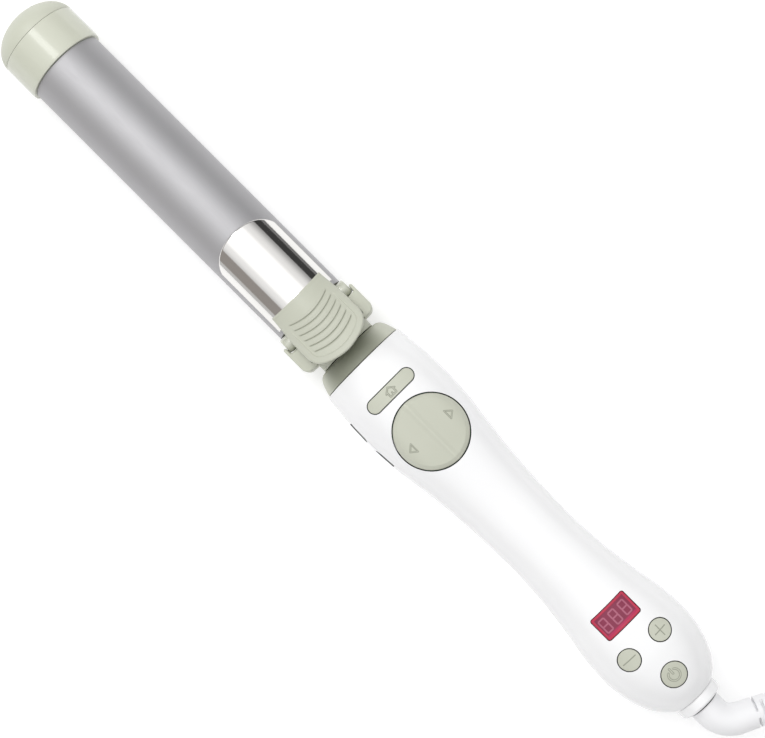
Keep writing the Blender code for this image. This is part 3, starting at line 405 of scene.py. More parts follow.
def smooth_between(xs, ys, x):
    """Monotone cubic through the stations, as the CAD has it."""
    xs, ys = np.asarray(xs, float), np.asarray(ys, float)
    h, d = np.diff(xs), np.diff(ys) / np.diff(xs)
    m = np.zeros(len(xs))
    m[0], m[-1] = d[0], d[-1]
    for i in range(1, len(xs) - 1):
        if d[i - 1] * d[i] > 0:
            w1, w2 = 2 * h[i] + h[i - 1], h[i] + 2 * h[i - 1]
            m[i] = (w1 + w2) / (w1 / d[i - 1] + w2 / d[i])
    x = np.clip(np.asarray(x, float), xs[0], xs[-1])
    i = np.clip(np.searchsorted(xs, x, side="right") - 1, 0, len(xs) - 2)
    t = (x - xs[i]) / h[i]
    return (2 * t**3 - 3 * t**2 + 1) * ys[i] + (t**3 - 2 * t**2 + t) * h[i] * m[i] + (-2 * t**3 + 3 * t**2) * ys[i + 1] + (t**3 - t**2) * h[i] * m[i + 1]


def ramp(x, a, b):
    t = np.clip((np.asarray(x, float) - a) / (b - a), 0.0, 1.0)
    return t * t * (3 - 2 * t)


def handle_at(x):
    xs = [s[0] for s in STATIONS]
    w, up, down = (smooth_between(xs, [s[k] for s in STATIONS], x) for k in (1, 2, 3))
    return w, up, down, 2.0 + 0.35 * ramp(x, 191.6, 206.0) - 0.35 * ramp(x, 350.0, 372.0)


def surface_z(x, y):
    w, up, _, n = handle_at(x)
    return up * np.maximum(0.0, 1 - np.minimum(1.0, np.abs(y) / w) ** n) ** (1 / n)


def round_off(d, r):
    """How far an edge of radius r drops at distance d from it."""
    d = np.clip(d, 0, r)
    return r - np.sqrt(np.maximum(0, r * r - (r - d) ** 2))


def on(obj, body, nodes=(), slot=None):
    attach(obj, body)
    if nodes:
        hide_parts(*nodes)
    if slot:
        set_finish(obj, slot)
    return obj


# ================================================================ cap at the tip
deep = CAP_X[1] - CAP_X[0]
dome = [(CAP_X[1] - deep * math.cos(t), CAP_R * math.sin(t)) for t in np.linspace(0, math.pi / 2, 64)]
dome = dome[:-1] + [(CAP_X[1], CAP_R), (CAP_X[1] + 0.05, CAP_R - 0.03), (CAP_X[1] + 0.06, CAP_R - 0.2)]
inside = [(CAP_X[1] - (deep - 1.8) * math.cos(t), (CAP_R - 2.0) * math.sin(t)) for t in np.linspace(math.pi / 2, 0, 24)]
on(lathe("cap_dome", dome + inside, M["sage"], 160, closed=False), "barrel", ["tip_cap_dome"], "sage_plastic")
sleeve = [(12.36, CAP_R), (26.1, CAP_R), (CAP_X[2], CAP_R - 0.22), (CAP_X[2], 14.2), (34.0, 14.2), (34.0, 12.5), (16.5, 12.5), (16.5, 2.2), (14.0, 2.2), (14.0, 14.8), (12.36, 14.8)]
on(lathe("cap_sleeve", softened(sleeve, [0.08, 0.5, 0.18, 0.2, 0.3, 0.2, 0.2, 0.2, 0.2, 0.2, 0.2]), M["sage_gloss"], 160), "barrel", ["tip_cap_sleeve"], "sage_plastic")

# ================================================================ barrel
tube = [(CAP_X[2] + 0.12, BARREL_R), (BARREL_X[1], BARREL_R), (BARREL_X[1], BARREL_BORE), (CAP_X[2] + 0.12, BARREL_BORE)]
on(lathe("barrel", softened(tube, 0.25), M["barrel"], 192), "barrel", ["barrel_tube"], "barrel_coating")


# ================================================================ clamp plate
def plate_edge(a):
    return PLATE_X[0] + 11.0 * (1 - np.sqrt(np.maximum(0.0, 1 - (16.7 * a / 17.9) ** 2)))


def make_plate():
    """A rolled sheet 0.8 mm thick whose edges are rounded all round."""
    half, rim = 0.4, 0.4
    nu, nv = 150, 110
    a = PLATE_HALF * np.sin(np.linspace(-1, 1, nu) * math.pi / 2) * 0.35 + PLATE_HALF * np.linspace(-1, 1, nu) * 0.65
    u = np.linspace(0, 1, nv)
    u = 0.75 * u + 0.25 * (0.5 - 0.5 * np.cos(math.pi * u))
    A = np.repeat(a[:, None], nv, 1)
    x0 = plate_edge(A)
    X = x0 + (PLATE_X[1] - x0) * u[None, :]
    # distance to the sheet's edge
    ea = np.linspace(-PLATE_HALF, PLATE_HALF, 500)
    rim_line = np.c_[plate_edge(ea), ea * 16.7]
    flat = np.c_[X.ravel(), (A * 16.7).ravel()]
    dist = np.sqrt(((flat[:, None, :] - rim_line[None]) ** 2).sum(2)).min(1).reshape(X.shape)
    dist = np.minimum(dist, PLATE_X[1] - X)
    dist = np.minimum(dist, (PLATE_HALF - np.abs(A)) * 16.7)
    t = half - round_off(dist, rim) * half / rim
    verts, mid = [], 0.5 * (PLATE_R[0] + PLATE_R[1])
    for s in (1, -1):
        R = mid + s * t
        verts.append(np.c_[X.ravel(), (R * np.sin(A)).ravel(), (R * np.cos(A)).ravel()])
    faces = quads(nu, nv) + quads(nu, nv, base=nu * nv, flip=True)
    o = make("clamp_sheet", np.vstack(verts), faces, M["chrome"], 60)
    for s in (1, -1):
        cut(o, extrude(f"hole_{s}", circle(1.3, 32, 159.0, s * 5.5), "z", 12.0, 20.0, None))
    return shaded(o, 60)


on(make_plate(), "clamp", ["clamp_plate"], "chrome_plate")


# ================================================================ thumb lever
def lever_mid(x):
    return smooth_between((156.8, 160.0, 165.0, 171.0, 178.0, 185.8), (18.9, 19.7, 21.5, 23.8, 25.9, 27.2), x)


def lever_top(x, y):
    drop = smooth_between((156.8, 164.0, 172.0, 180.0, 185.8), (6.3, 5.2, 3.4, 2.2, 1.8), x)
    return lever_mid(x) - drop * (y / LEVER_HALF) ** 2


def lever_half(x):
    x = np.asarray(x, float)
    u = np.clip((x - 175.0) / 10.0, 0, 1)
    return np.where(x < 168, 12.65 + (LEVER_HALF - 12.65) * ramp(x, 154.0, 168.0), LEVER_HALF * (1 - u**3) ** 0.625)


GROOVES = [(164.7 + 2.82 * i) for i in range(6)]      # groove centres along x at y = 0


def make_lever():
    nu, nv = 300, 240
    k = np.linspace(0, 1, nu)
    X1 = 156.0 + (LEVER_END - 156.0) * np.sin(k * math.pi / 2) ** 0.95
    v = np.linspace(-1, 1, nv)
    v = 0.8 * v + 0.2 * np.sin(v * math.pi / 2)
    X = np.repeat(X1[:, None], nv, 1)
    Y = lever_half(X) * v[None, :]
    # the front edge is slightly hollow, its corners reach further towards the tip
    hollow = 0.75 * np.clip((165.0 - X) / 9.0, 0, 1) ** 2 * (np.abs(Y) / 12.7) ** 2
    X = X - hollow
    ox = np.r_[np.linspace(155.25, 175, 80), 175 + 10.0 * np.sin(np.linspace(0, 1, 220) * math.pi / 2)]
    edge = np.vstack([np.c_[ox, lever_half(ox)], np.c_[ox, -lever_half(ox)], np.c_[156.0 - 0.75 * np.linspace(-1, 1, 60) ** 2, np.linspace(-12.7, 12.7, 60)]])
    flat = np.c_[X.ravel(), Y.ravel()]
    dist = np.concatenate([np.sqrt(((c[:, None, :] - edge[None]) ** 2).sum(2)).min(1) for c in np.array_split(flat, 60)]).reshape(X.shape)
    side = np.vstack([edge[: len(ox) * 2]])
    far = np.concatenate([np.sqrt(((c[:, None, :] - side[None]) ** 2).sum(2)).min(1) for c in np.array_split(flat, 60)]).reshape(X.shape)
    top = lever_top(X, Y)
    # raised rim along the sides and round the end, low thumb rest inside it
    painted_shade = np.zeros(X.shape)
    rim = 1 - ramp(far, 2.35, 3.05)
    top += 0.50 * rim * ramp(X, 163, 170) - 0.12 * (1 - rim) * ramp(X, 161, 166)
    for i, gx in enumerate(GROOVES):
        bow = gx - 2.6 * (Y / 10.2) ** 2
        d = X - bow
        ends = 1 - ramp(np.abs(Y), 9.2, 10.4)
        # steep on the side towards the tip, easing out on the other
        depth = np.where(d < 0, np.exp(-((d / 0.18) ** 2)), np.exp(-((d / 0.34) ** 2)))
        top -= 0.42 * depth * ends
        top += 0.15 * np.exp(-(((d + 0.75) / 0.30) ** 2)) * ends
        # painted shade along the bottom of each groove
        painted_shade = np.maximum(painted_shade, 0.80 * np.exp(-(((d + 0.02) / 0.14) ** 2)) * ends)
    under = lever_top(X, Y) - 2.4
    under = np.where(X <= 161.6, np.maximum(under, np.sqrt(np.maximum(0, 17.45**2 - Y**2))), under)
    r = 0.8
    drop = round_off(dist, r)
    thin = np.minimum(1.0, (top - under) / 2.4)
    T = top - drop * np.minimum(1, thin)
    B = np.minimum(under + drop * 0.8 * thin, T - 0.15)
    verts = np.vstack([np.c_[X.ravel(), Y.ravel(), T.ravel()], np.c_[X.ravel(), Y.ravel(), B.ravel()]])
    n = nu * nv
    faces = quads(nu, nv) + quads(nu, nv, base=n, flip=True)
    for i in range(nu - 1):
        for j in (0, nv - 1):
            a, b = i * nv + j, (i + 1) * nv + j
            faces.append((a, b, b + n, a + n) if j else (b, a, a + n, b + n))
    for i in (0, nu - 1):
        for j in range(nv - 1):
            a, b = i * nv + j, i * nv + j + 1
            faces.append((a, b, b + n, a + n) if i == 0 else (b, a, a + n, b + n))
    o = make("thumb_rest", verts, faces, M["sage_lever_painted_shade"], 40, painted_shade=np.r_[painted_shade.ravel(), np.zeros(n)])
    bits = []
    for side_name, s in (("left", 1), ("right", -1)):
        cheek = [(162.6, 14.4), (162.8, 7.0)] + arc(PIVOT[0], PIVOT[1], 3.2, 190, 330, 24) + [(171.0, 9.5), (174.5, 15.5), (175.6, 21.0), (170.0, 18.9), (166.0, 16.9)]
        bits.append(extrude("cheek_" + side_name, softened(cheek, 0.6), "y", *sorted((s * 11.0, s * 13.25)), M["sage_lever_painted_shade"]))
        boss = [(0, 0), (0, 3.2), (3.45, 3.2), (3.8, 3.05), (4.0, 2.7), (4.0, 0.0)]
        t = np.linspace(0, 2 * math.pi, 64, endpoint=False)
        bv = [(PIVOT[0] + rr * math.cos(a), s * (12.8 + h), PIVOT[1] + rr * math.sin(a)) for h, rr in boss for a in t]
        bits.append(make("boss_" + side_name, bv, quads(len(boss), 64, wrap_v=True), M["sage_lever_painted_shade"]))
    for b in bits:
        applied(b)
    union(o, *bits)
    cut(o, *[extrude("bore", circle(1.5, 40, PIVOT[0], PIVOT[1]), "y", -18, 18, None)])
    for s in (1, -1):
        cut(o, extrude(f"hole_{s}", circle(1.3, 24, 159.0, s * 5.5), "z", 12.0, 17.2, None))
    # the bosses are moulded against polished steel, so they shine
    o.data.materials.append(M["sage_boss"])
    slot = len(o.data.materials) - 1
    for p in o.data.polygons:
        x, y, z = p.center[0] * 1000 + BODY_LENGTH / 2, p.center[1] * 1000, p.center[2] * 1000 - AXIS_Z
        if abs(y) > 13.3 and math.hypot(x - PIVOT[0], z - PIVOT[1]) < 3.3:
            p.material_index = slot
    return shaded(o, 40)


on(make_lever(), "clamp", ["thumb_lever"], "sage_plastic")


# ================================================================ hinge hub
def make_hub():
    prof = [(150.5, 3.2), (150.5, 14.2), (162.55, 14.2), (162.55, 15.9), (178.6, 15.9), (179.8, NECK_R), (183.4, NECK_R), (183.4, 4.4), (170.7, 4.4), (170.7, 3.2)]
    hub = lathe("hub", softened(prof, [0.2, 0.4, 0.2, 0.25, 0.9, 0.9, 0.2, 0.2, 0.2, 0.2]), M["sage"], 160)
    for name, s in (("left", 1), ("right", -1)):
        cut(hub, box_tool("slot", (161.0, 178.0), sorted((s * 10.6, s * 22)), (2.0, 22)))
        ear = [(169.6, 12.6), (169.6, 17.1), (166.6, 17.1), (166.6, 17.9), (167.1, 18.4), (176.9, 18.4)] + arc(176.9, 15.4, 3.0, 78, 12, 14) + [(180.0, 12.6)]
        low = extrude("ear", [(x, s * y) for x, y in ear], "z", -6.0, 10.6, M["sage"], bevel=0.7, segs=5)
        applied(low)
        union(hub, low)
        cut(hub, box_tool("gap", (160.0, 178.05), sorted((s * 10.55, s * 13.9)), (2.0, 22)))
        cut(hub, extrude("seat", circle(3.55, 48, PIVOT[0], PIVOT[1]), "y", *sorted((s * 13.3, s * 17.1)), None))
    cut(hub, box_tool("spring", (162.8, 170.3), (-4.9, 4.9), (3.9, 22)))
    cut(hub, box_tool("leg", (170.0, 177.3), (-4.85, 4.85), (5.6, 22)))
    cut(hub, extrude("pin", circle(1.55, 32, PIVOT[0], PIVOT[1]), "y", -12, 12, None))
    return shaded(hub, 30)


def box_tool(name, x, y, z):
    return extrude(name, [(x[0], y[0]), (x[1], y[0]), (x[1], y[1]), (x[0], y[1])], "z", z[0], z[1], None)


on(make_hub(), "barrel", ["hinge_hub"], "sage_plastic")

# ================================================================ collar
collar = [(COLLAR_X[0] + (COLLAR_X[1] - COLLAR_X[0]) * u, 13.2 + (COLLAR_R - 13.2) * u**0.34) for u in np.linspace(0, 1, 60) ** 1.6]
back = [(COLLAR_X[1], 16.4), (196.5, 16.4), (196.5, 14.6), (189.5, 14.6), (189.5, 6.4), (COLLAR_X[0], 6.4)]
full = collar[:-1] + [(COLLAR_X[1] - 0.12, COLLAR_R - 0.01), (COLLAR_X[1], COLLAR_R - 0.14)] + back


def collar_shade(x, r, a):
    """Painted shade: darker towards the neck and under the lever, where the collar sits in a pocket that gathers little
    light.
    """
    top = float(ramp(math.cos(a + 0.15), 0.42, 0.95))
    return (0.96 - 0.16 * float(ramp(x, 185.0, 191.3))) * top


on(lathe("collar", full, M["sage_painted_shade"], 192, shade=collar_shade), "handle", ["front_collar"], "sage_plastic")


# ================================================================ handle shells
def half_ring(w, h, n, count, floor, split=0.15):
    a = np.linspace(0, math.pi, count + 1)
    c, s = np.cos(a), np.sin(a)
    y = w * np.sign(c) * np.abs(c) ** (2 / n)
    z = h * np.abs(s) ** (2 / n)
    y[0], y[-1], z[0], z[-1] = w, -w, 0, 0
    return y, np.maximum(np.minimum(z, floor), split)


def make_shell(name, top):
    sign = 1 if top else -1
    ends = 0.28
    xs = np.unique(np.r_[191.6, 191.62, 191.66, 191.72, 191.8, 191.88, np.linspace(192.0, 346, 190), np.linspace(346, 373.0, 80), 373.05, 373.1, 373.15, 373.18, 373.2])
    count = 120
    outer, inner = [], []
    for x in xs:
        w, up, down, n = (float(q) for q in handle_at(x))
        off = float(round_off(x - 191.6, ends) + round_off(373.2 - x, ends))
        y, z = half_ring(w - off, (up if top else down) - off, n, count, 1e9 if top else AXIS_Z)
        outer.append(np.c_[np.full(count + 1, x), y, sign * z])
    for x in xs:
        if x < 371:
            ahead = x + 2.0 * float(ramp(x, 346, 368))
            w, up, down, n = (float(q) for q in handle_at(ahead))
            t = WALL - 0.2 * float(ramp(x, 346, 368))
            y, z = half_ring(w - t, (up if top else down) - t, n, count, 1e9 if top else AXIS_Z - WALL)
        else:
            y, z = half_ring(8.0, 8.0, 2.0, count, 1e9)
        inner.append(np.c_[np.full(count + 1, x), y, sign * z])
    nu, nv = len(xs), count + 1
    verts = np.vstack(outer + inner)
    n = nu * nv
    faces = quads(nu, nv) + quads(nu, nv, base=n, flip=True)
    for i in range(nu - 1):
        for j in (0, nv - 1):
            a, b = i * nv + j, (i + 1) * nv + j
            faces.append((a, b, b + n, a + n))
    for i in (0, nu - 1):
        for j in range(nv - 1):
            a, b = i * nv + j, i * nv + j + 1
            faces.append((a, b, b + n, a + n))
    return make(name, verts, faces, M["white"], 35)


top = make_shell("shell_upper", True)


def upright(name, cx, cy, outline, lo, hi):
    return extrude(name, [(cx + a, cy + b) for a, b in outline], "z", lo, hi, None)


cut(
    top,
    upright("c1", ROCKER[0], 0, circle(ROCKER[2] + 0.45, 160), 6, 26),
    upright("c2", HOME[0], 0, rounded(HOME[3] + 0.7, HOME[2] + 0.7, HOME[3] / 2 + 0.349, 24), 10, 26),
    upright("c3", WINDOW[0], 0, rounded(WINDOW[2] + 0.6, WINDOW[3] + 0.6, 1.1, 8), 8, 26),
    upright("c4", PLUS[0], PLUS[1], circle(PLUS[2] + 0.38, 96), 6, 26),
    upright("c5", MINUS[0], MINUS[1], circle(MINUS[2] + 0.38, 96), 6, 26),
    upright("c6", POWER[0], 0, circle(POWER[2] + 0.38, 96), 6, 26),
    extrude("c7", [(SLIDER_X - 0.2 + a, 4.5 + b) for a, b in rounded(23.6, 4.2, 0.8, 6)], "y", -24, -15.0, None),
)
bottom = make_shell("shell_lower", False)
for x in (258.0, 313.0):
    _, up, down, _ = (float(q) for q in handle_at(x))
    union(top, extrude("post", circle(3.6, 48, x, 0), "z", 0.6, up - 1.0, None))
    cut(top, extrude("pilot", circle(1.75, 32, x, 0), "z", -2, up - 5.0, None))
    union(bottom, extrude("boss", circle(5.2, 48, x, 0), "z", -down + 0.8, -0.6, None))
    cut(bottom, extrude("shank", circle(1.75, 32, x, 0), "z", -down - 4, 2, None), extrude("head", circle(3.3, 48, x, 0), "z", -down - 4, -6.0, None))


def paint_shade_inside(shell):
    """Painted shade: the shell's inside, its parting faces and the walls of its openings take a near-black material
    that stands for the shade in those gaps and hollows."""
    me = shell.data
    me.materials.append(M["inner"])
    count = len(me.polygons)
    c, nrm, index = np.empty(count * 3), np.empty(count * 3), np.zeros(count, np.int32)
    me.polygons.foreach_get("center", c)
    me.polygons.foreach_get("normal", nrm)
    c, nrm = c.reshape(-1, 3), nrm.reshape(-1, 3)
    x, y, z = c[:, 0] * 1000 + BODY_LENGTH / 2, c[:, 1] * 1000, c[:, 2] * 1000 - AXIS_Z
    at = np.array([[float(q) for q in handle_at(p)] for p in np.linspace(191.6, 373.2, 400)])
    w, up, down, n = (np.interp(x, np.linspace(191.6, 373.2, 400), at[:, k]) for k in range(4))
    level = (np.abs(y) / w) ** n + (np.abs(z) / np.where(z > 0, up, down)) ** n
    inside = (level < 0.93) & (x > 192.2) & (x < 371) & (z > -19.3)
    wall = (np.abs(nrm[:, 2]) < 0.02) & (level < 0.99) & (x > 203) & (x < 366) & (z > 0) & (np.abs(y) < 17.5)
    parting = (np.abs(z) < 0.16) & (np.abs(nrm[:, 2]) > 0.9) & (x > 192.2) & (x < 372.9)
    index[inside | wall | parting] = 1
    me.polygons.foreach_set("material_index", index)
    me.update()
    return shell


paint_shade_inside(top)
paint_shade_inside(bottom)
on(shaded(top, 32), "handle", ["handle_top_shell"], "white_plastic")
on(shaded(bottom, 32), "handle", ["handle_bottom_shell"], "white_plastic")


# ================================================================ keys
def seg_dist(px, py, a, b):
    ax, ay = a
    bx, by = b
    t = np.clip(((px - ax) * (bx - ax) + (py - ay) * (by - ay)) / ((bx - ax) ** 2 + (by - ay) ** 2), 0, 1)
    return np.hypot(px - ax - t * (bx - ax), py - ay - t * (by - ay))


def strokes(px, py, lines, half):
    """Signed distance to a set of strokes, negative inside."""
    d = np.full(px.shape, 1e9)
    for a, b in lines:
        d = np.minimum(d, seg_dist(px, py, a, b))
    return d - half


def key(name, cx, cy, outline, inset, proud, mat, bottom=None, under=0, crown=None, icon=None, raised=0.12, line=0.0, rings=90, seg=320, rim=0.35, bevel=None, tint=None):
    """A key or lens whose top follows the handle's skin. inset(dx, dy) is the distance to its edge; icon(dx, dy) is
    a signed distance, negative inside the symbol."""
    edge = resampled(list(outline), seg)
    s = np.linspace(0, 1, rings) ** 0.92
    s = np.unique(np.r_[s, 1 - np.geomspace(0.002, 0.06, 14)])
    D = s[:, None, None] * edge[None]
    dx, dy = D[..., 0], D[..., 1]
    d = inset(dx, dy)
    Z = surface_z(cx + dx, cy + dy) + proud - round_off(d, rim)
    if bevel:
        width, fall = bevel
        Z = Z - fall * np.clip(1 - d / width, 0, 1)
    if crown:
        Z = Z + crown(dx, dy)
    painted_shade = np.zeros(dx.shape)
    if icon:
        g = icon(dx, dy)
        Z = Z + raised * (1 - ramp(g, -0.10, 0.10))
        groove = np.exp(-(((g - 0.04) / 0.12) ** 2)) * 0.8
        Z = Z - line * groove
        # painted shade in the groove round each symbol
        painted_shade = groove
    n = len(s) * seg
    topv = np.c_[(cx + dx).ravel(), (cy + dy).ravel(), Z.ravel()]
    if bottom is not None:
        zb = np.full(seg, float(bottom))
    else:
        zb = surface_z(cx + edge[:, 0], cy + edge[:, 1]) - under
    low = np.c_[cx + edge[:, 0], cy + edge[:, 1], zb]
    wall = np.c_[cx + edge[:, 0], cy + edge[:, 1], Z[-1] - 0.25]
    if bottom is None:
        s2 = np.linspace(1, 0, 12)
        lows = [np.c_[cx + k * edge[:, 0], cy + k * edge[:, 1], surface_z(cx + k * edge[:, 0], cy + k * edge[:, 1]) - under] for k in s2]
    else:
        lows = [low, np.c_[cx + 0 * edge[:, 0], cy + 0 * edge[:, 1], zb]]
    lows = [wall] + lows
    verts = np.vstack([topv] + lows)
    rows = len(s) + len(lows)
    faces = quads(rows, seg, wrap_v=True)
    extra = rows * seg - n
    colour = None
    if tint:
        c = tint(dx, dy)
        colour = np.vstack([c.reshape(-1, 4), np.tile([0.35, 0.02, 0.06, 1.0], (extra, 1))])
    # the wall rows below the top get full painted shade: the shade in the gap round the key
    return make(name, verts, faces, mat, 38, colour=colour, painted_shade=np.r_[painted_shade.ravel(), np.ones(extra)] if icon else None)


def round_inset(r):
    return lambda dx, dy: r - np.hypot(dx, dy)


def pill_inset(dx, dy):
    h = HOME[2] / 2 - HOME[3] / 2
    return HOME[3] / 2 - seg_dist(dx, dy, (0, -h), (0, h))


def box_inset(lx, ly, r):
    def f(dx, dy):
        qx, qy = np.abs(dx) - (lx / 2 - r), np.abs(dy) - (ly / 2 - r)
        outside = np.hypot(np.maximum(qx, 0), np.maximum(qy, 0))
        return r - outside - np.minimum(np.maximum(qx, qy), 0)
    return f


def rocker_crown(dx, dy):
    return 0.44 * np.exp(-((dy / 1.2) ** 2)) - 0.45 * np.sin(np.minimum(1.0, np.abs(dy) / 12.0) * math.pi) ** 2


def triangles(dx, dy):
    """An outlined arrow at each end, pointing away from the ridge."""
    out = None
    for s in (1, -1):
        base, tip = s * 8.95, s * 11.3
        pts = [(-2.2, base), (1.75, base), (-0.1, tip)]
        d = strokes(dx, dy, [(pts[0], pts[1]), (pts[1], pts[2]), (pts[2], pts[0])], 0.17)
        out = d if out is None else np.minimum(out, d)
    return out


def house(dx, dy):
    """A small generic house in outline, with its roof towards the tip, as the other symbols have their tops."""
    lines = [((-1.75, 0.0), (-0.05, 2.15)), ((-1.75, 0.0), (-0.05, -2.15)), ((-0.35, 1.5), (1.65, 1.5)), ((-0.35, -1.5), (1.65, -1.5)), ((1.65, -1.5), (1.65, 1.5)), ((1.65, 0.0), (0.75, 0.0))]
    return strokes(dx, dy, lines, 0.2)


def plus_icon(dx, dy):
    return strokes(dx, dy, [((0, -2.55), (0, 2.55)), ((-2.55, 0), (2.55, 0))], 0.05)


def minus_icon(dx, dy):
    return strokes(dx, dy, [((0, -3.0), (0, 3.0))], 0.05)


def power_icon(dx, dy):
    """Broken ring with a bar in the break, which faces the tip."""
    r = np.hypot(dx, dy)
    a = np.degrees(np.arctan2(dy, -dx))
    ring = np.where(np.abs(a) > 36, np.abs(r - 2.35), 1e9)
    ends = [np.hypot(dx + 2.35 * math.cos(math.radians(36)), dy - s * 2.35 * math.sin(math.radians(36))) for s in (1, -1)]
    bar = seg_dist(dx, dy, (-3.0, 0), (-0.7, 0))
    return np.minimum(np.minimum(ring, np.minimum(*ends)), bar) - 0.3


on(
    key("rocker_key", ROCKER[0], 0, circle(ROCKER[2], 720), round_inset(ROCKER[2]), 0.6, M["sage_painted_shade"], under=2.6, crown=rocker_crown, icon=triangles, raised=0.12, line=0.10, rings=130, seg=520, rim=0.3, bevel=(1.7, 0.75)),
    "rocker", ["direction_rocker"], "sage_plastic",
)
rib = extrude("rocker_rib", rounded(22, 2.8, 0.4, 4), "z", 11.6, 16.2, M["sage"], bevel=0.15)
for v in rib.data.vertices:
    v.co.x += (ROCKER[0]) / 1000
on(rib, "rocker", [], "sage_plastic")
on(key("home_key", HOME[0], 0, rounded(HOME[3], HOME[2], HOME[3] / 2 - 0.001, 40), pill_inset, 0.25, M["sage_painted_shade"], bottom=14.9, icon=house, raised=0.10, line=0.10, rings=110, seg=480, rim=0.3), "home_key", ["home_button"], "sage_plastic")
on(key("plus_key", PLUS[0], PLUS[1], circle(PLUS[2], 360), round_inset(PLUS[2]), 0.3, M["sage_painted_shade"], bottom=13.7, icon=plus_icon, raised=-0.05, line=0.09, rings=80, seg=300, rim=0.3), "plus_key", ["plus_button"], "sage_plastic")
on(key("minus_key", MINUS[0], MINUS[1], circle(MINUS[2], 360), round_inset(MINUS[2]), 0.3, M["sage_painted_shade"], bottom=13.7, icon=minus_icon, raised=-0.05, line=0.09, rings=80, seg=300, rim=0.3), "minus_key", ["minus_button"], "sage_plastic")
on(key("power_key", POWER[0], 0, circle(POWER[2], 360), round_inset(POWER[2]), 0.3, M["sage_painted_shade"], bottom=11.4, icon=power_icon, raised=0.08, line=0.09, rings=90, seg=340, rim=0.3), "power_key", ["power_button"], "sage_plastic")

# ---------------------------------------------------------------- display
RIM, FIELD, GHOST, SIDE, SHADE = (0.53, 0.042, 0.088), (0.255, 0.036, 0.080), (0.50, 0.16, 0.24), (0.60, 0.030, 0.125), (0.21, 0.028, 0.065)


def seven(dx, dy, cy):
    """Signed distance to the seven bars of one digit centred on (0, cy); its top faces the tip."""
    h, w, k = 2.75, 1.35, 0.28
    bars = [((-h, cy - w + k), (-h, cy + w - k)), ((0, cy - w + k), (0, cy + w - k)), ((h, cy - w + k), (h, cy + w - k))]
    for s in (1, -1):
        bars += [((-h + k, cy + s * w), (-k, cy + s * w)), ((k, cy + s * w), (h - k, cy + s * w))]
    return strokes(dx, dy, bars, 0.27)


def lens_tint(dx, dy):
    d = box_inset(WINDOW[2], WINDOW[3], 0.8)(dx, dy)
    c = np.zeros(dx.shape + (4,))
    c[..., 3] = 1
    field = ramp(d, 0.75, 1.15)[..., None]
    side = (ramp(dx, 2.9, 4.0) * (1 - ramp(dx, 4.9, 5.3)))[..., None]
    base = np.array(RIM) * (1 - field) + (np.array(FIELD) * (1 - side) + np.array(SIDE) * side) * field
    shade = np.exp(-(((d - 1.15) / 0.22) ** 2))[..., None]
    base = base * (1 - 0.35 * shade) + np.array(SHADE) * 0.35 * shade
    for cy in (4.75, -0.25, -5.25):
        g = (1 - ramp(seven(dx - (-0.1), dy, cy), -0.08, 0.14))[..., None]
        base = base * (1 - 0.75 * g) + np.array(GHOST) * 0.75 * g
    c[..., :3] = base
    return c


def lens_crown(dx, dy):
    """The lens has a shallow raised frame round a sunken field."""
    d = box_inset(WINDOW[2], WINDOW[3], 0.8)(dx, dy)
    return -0.10 * ramp(d, 0.7, 1.0)


on(
    key("display_lens", WINDOW[0], 0, rounded(WINDOW[2], WINDOW[3], 0.8, 12), box_inset(WINDOW[2], WINDOW[3], 0.8), 0.12, M["lens"], under=1.5, crown=lens_crown, rings=150, seg=480, rim=0.2, tint=lens_tint),
    "handle", ["display_window"], "display_lens",
)


# ---------------------------------------------------------------- slide switch knob
def make_slider():
    line = [(-5.4, -16.2), (-5.4, -19.9), (-2.6, -20.3), (-1.35, -21.6), (1.35, -21.6), (2.6, -20.3), (5.4, -19.9), (5.4, -16.2)]
    out = softened([(SLIDER_X + a, b) for a, b in line], [0.1, 0.3, 0.8, 0.6, 0.6, 0.8, 0.3, 0.1], n=6)
    o = extrude("slide_knob", out, "z", 2.8, 6.2, M["white"], bevel=0.3, segs=4)
    applied(o)
    for k in (-0.7, 0.0, 0.7):
        cut(o, extrude("rib", circle(0.16, 16, SLIDER_X + k, -21.62), "z", 2.0, 7.0, None))
    return shaded(o, 35)


on(make_slider(), "speed_switch", ["speed_slider"], "white_plastic")

# ================================================================ swivel ring and strain relief
ring = [(366.3, 7.2), (366.3, 10.0), (368.3, 10.0), (368.3, 7.65), (373.5, 7.65), (373.5, 9.1), (374.2, 9.5), (377.2, 9.5), (378.0, 8.9), (378.0, 7.2)]
on(lathe("swivel_ring", softened(ring, [0.1, 0.1, 0.1, 0.1, 0.1, 0.4, 0.5, 0.5, 0.5, 0.2]), M["white"], 128), "handle", ["swivel_retainer"], "white_plastic")

TURN = math.radians(63.7)
R_BEND, R_LEAD, R_TAIL = 10.0, 5.2, 19.7
R_TOTAL = R_LEAD + R_BEND * TURN + R_TAIL


def relief_at(s):
    """Point and heading of the strain relief's centre line."""
    if s <= R_LEAD:
        return np.array([378.3 + s, 0.0, 0.0]), 0.0
    if s <= R_LEAD + R_BEND * TURN:
        a = (s - R_LEAD) / R_BEND
        return np.array([378.3 + R_LEAD + R_BEND * math.sin(a), R_BEND * (1 - math.cos(a)), 0.0]), a
    t = s - R_LEAD - R_BEND * TURN
    return np.array([378.3 + R_LEAD + R_BEND * math.sin(TURN) + t * math.cos(TURN), R_BEND * (1 - math.cos(TURN)) + t * math.sin(TURN), 0.0]), TURN


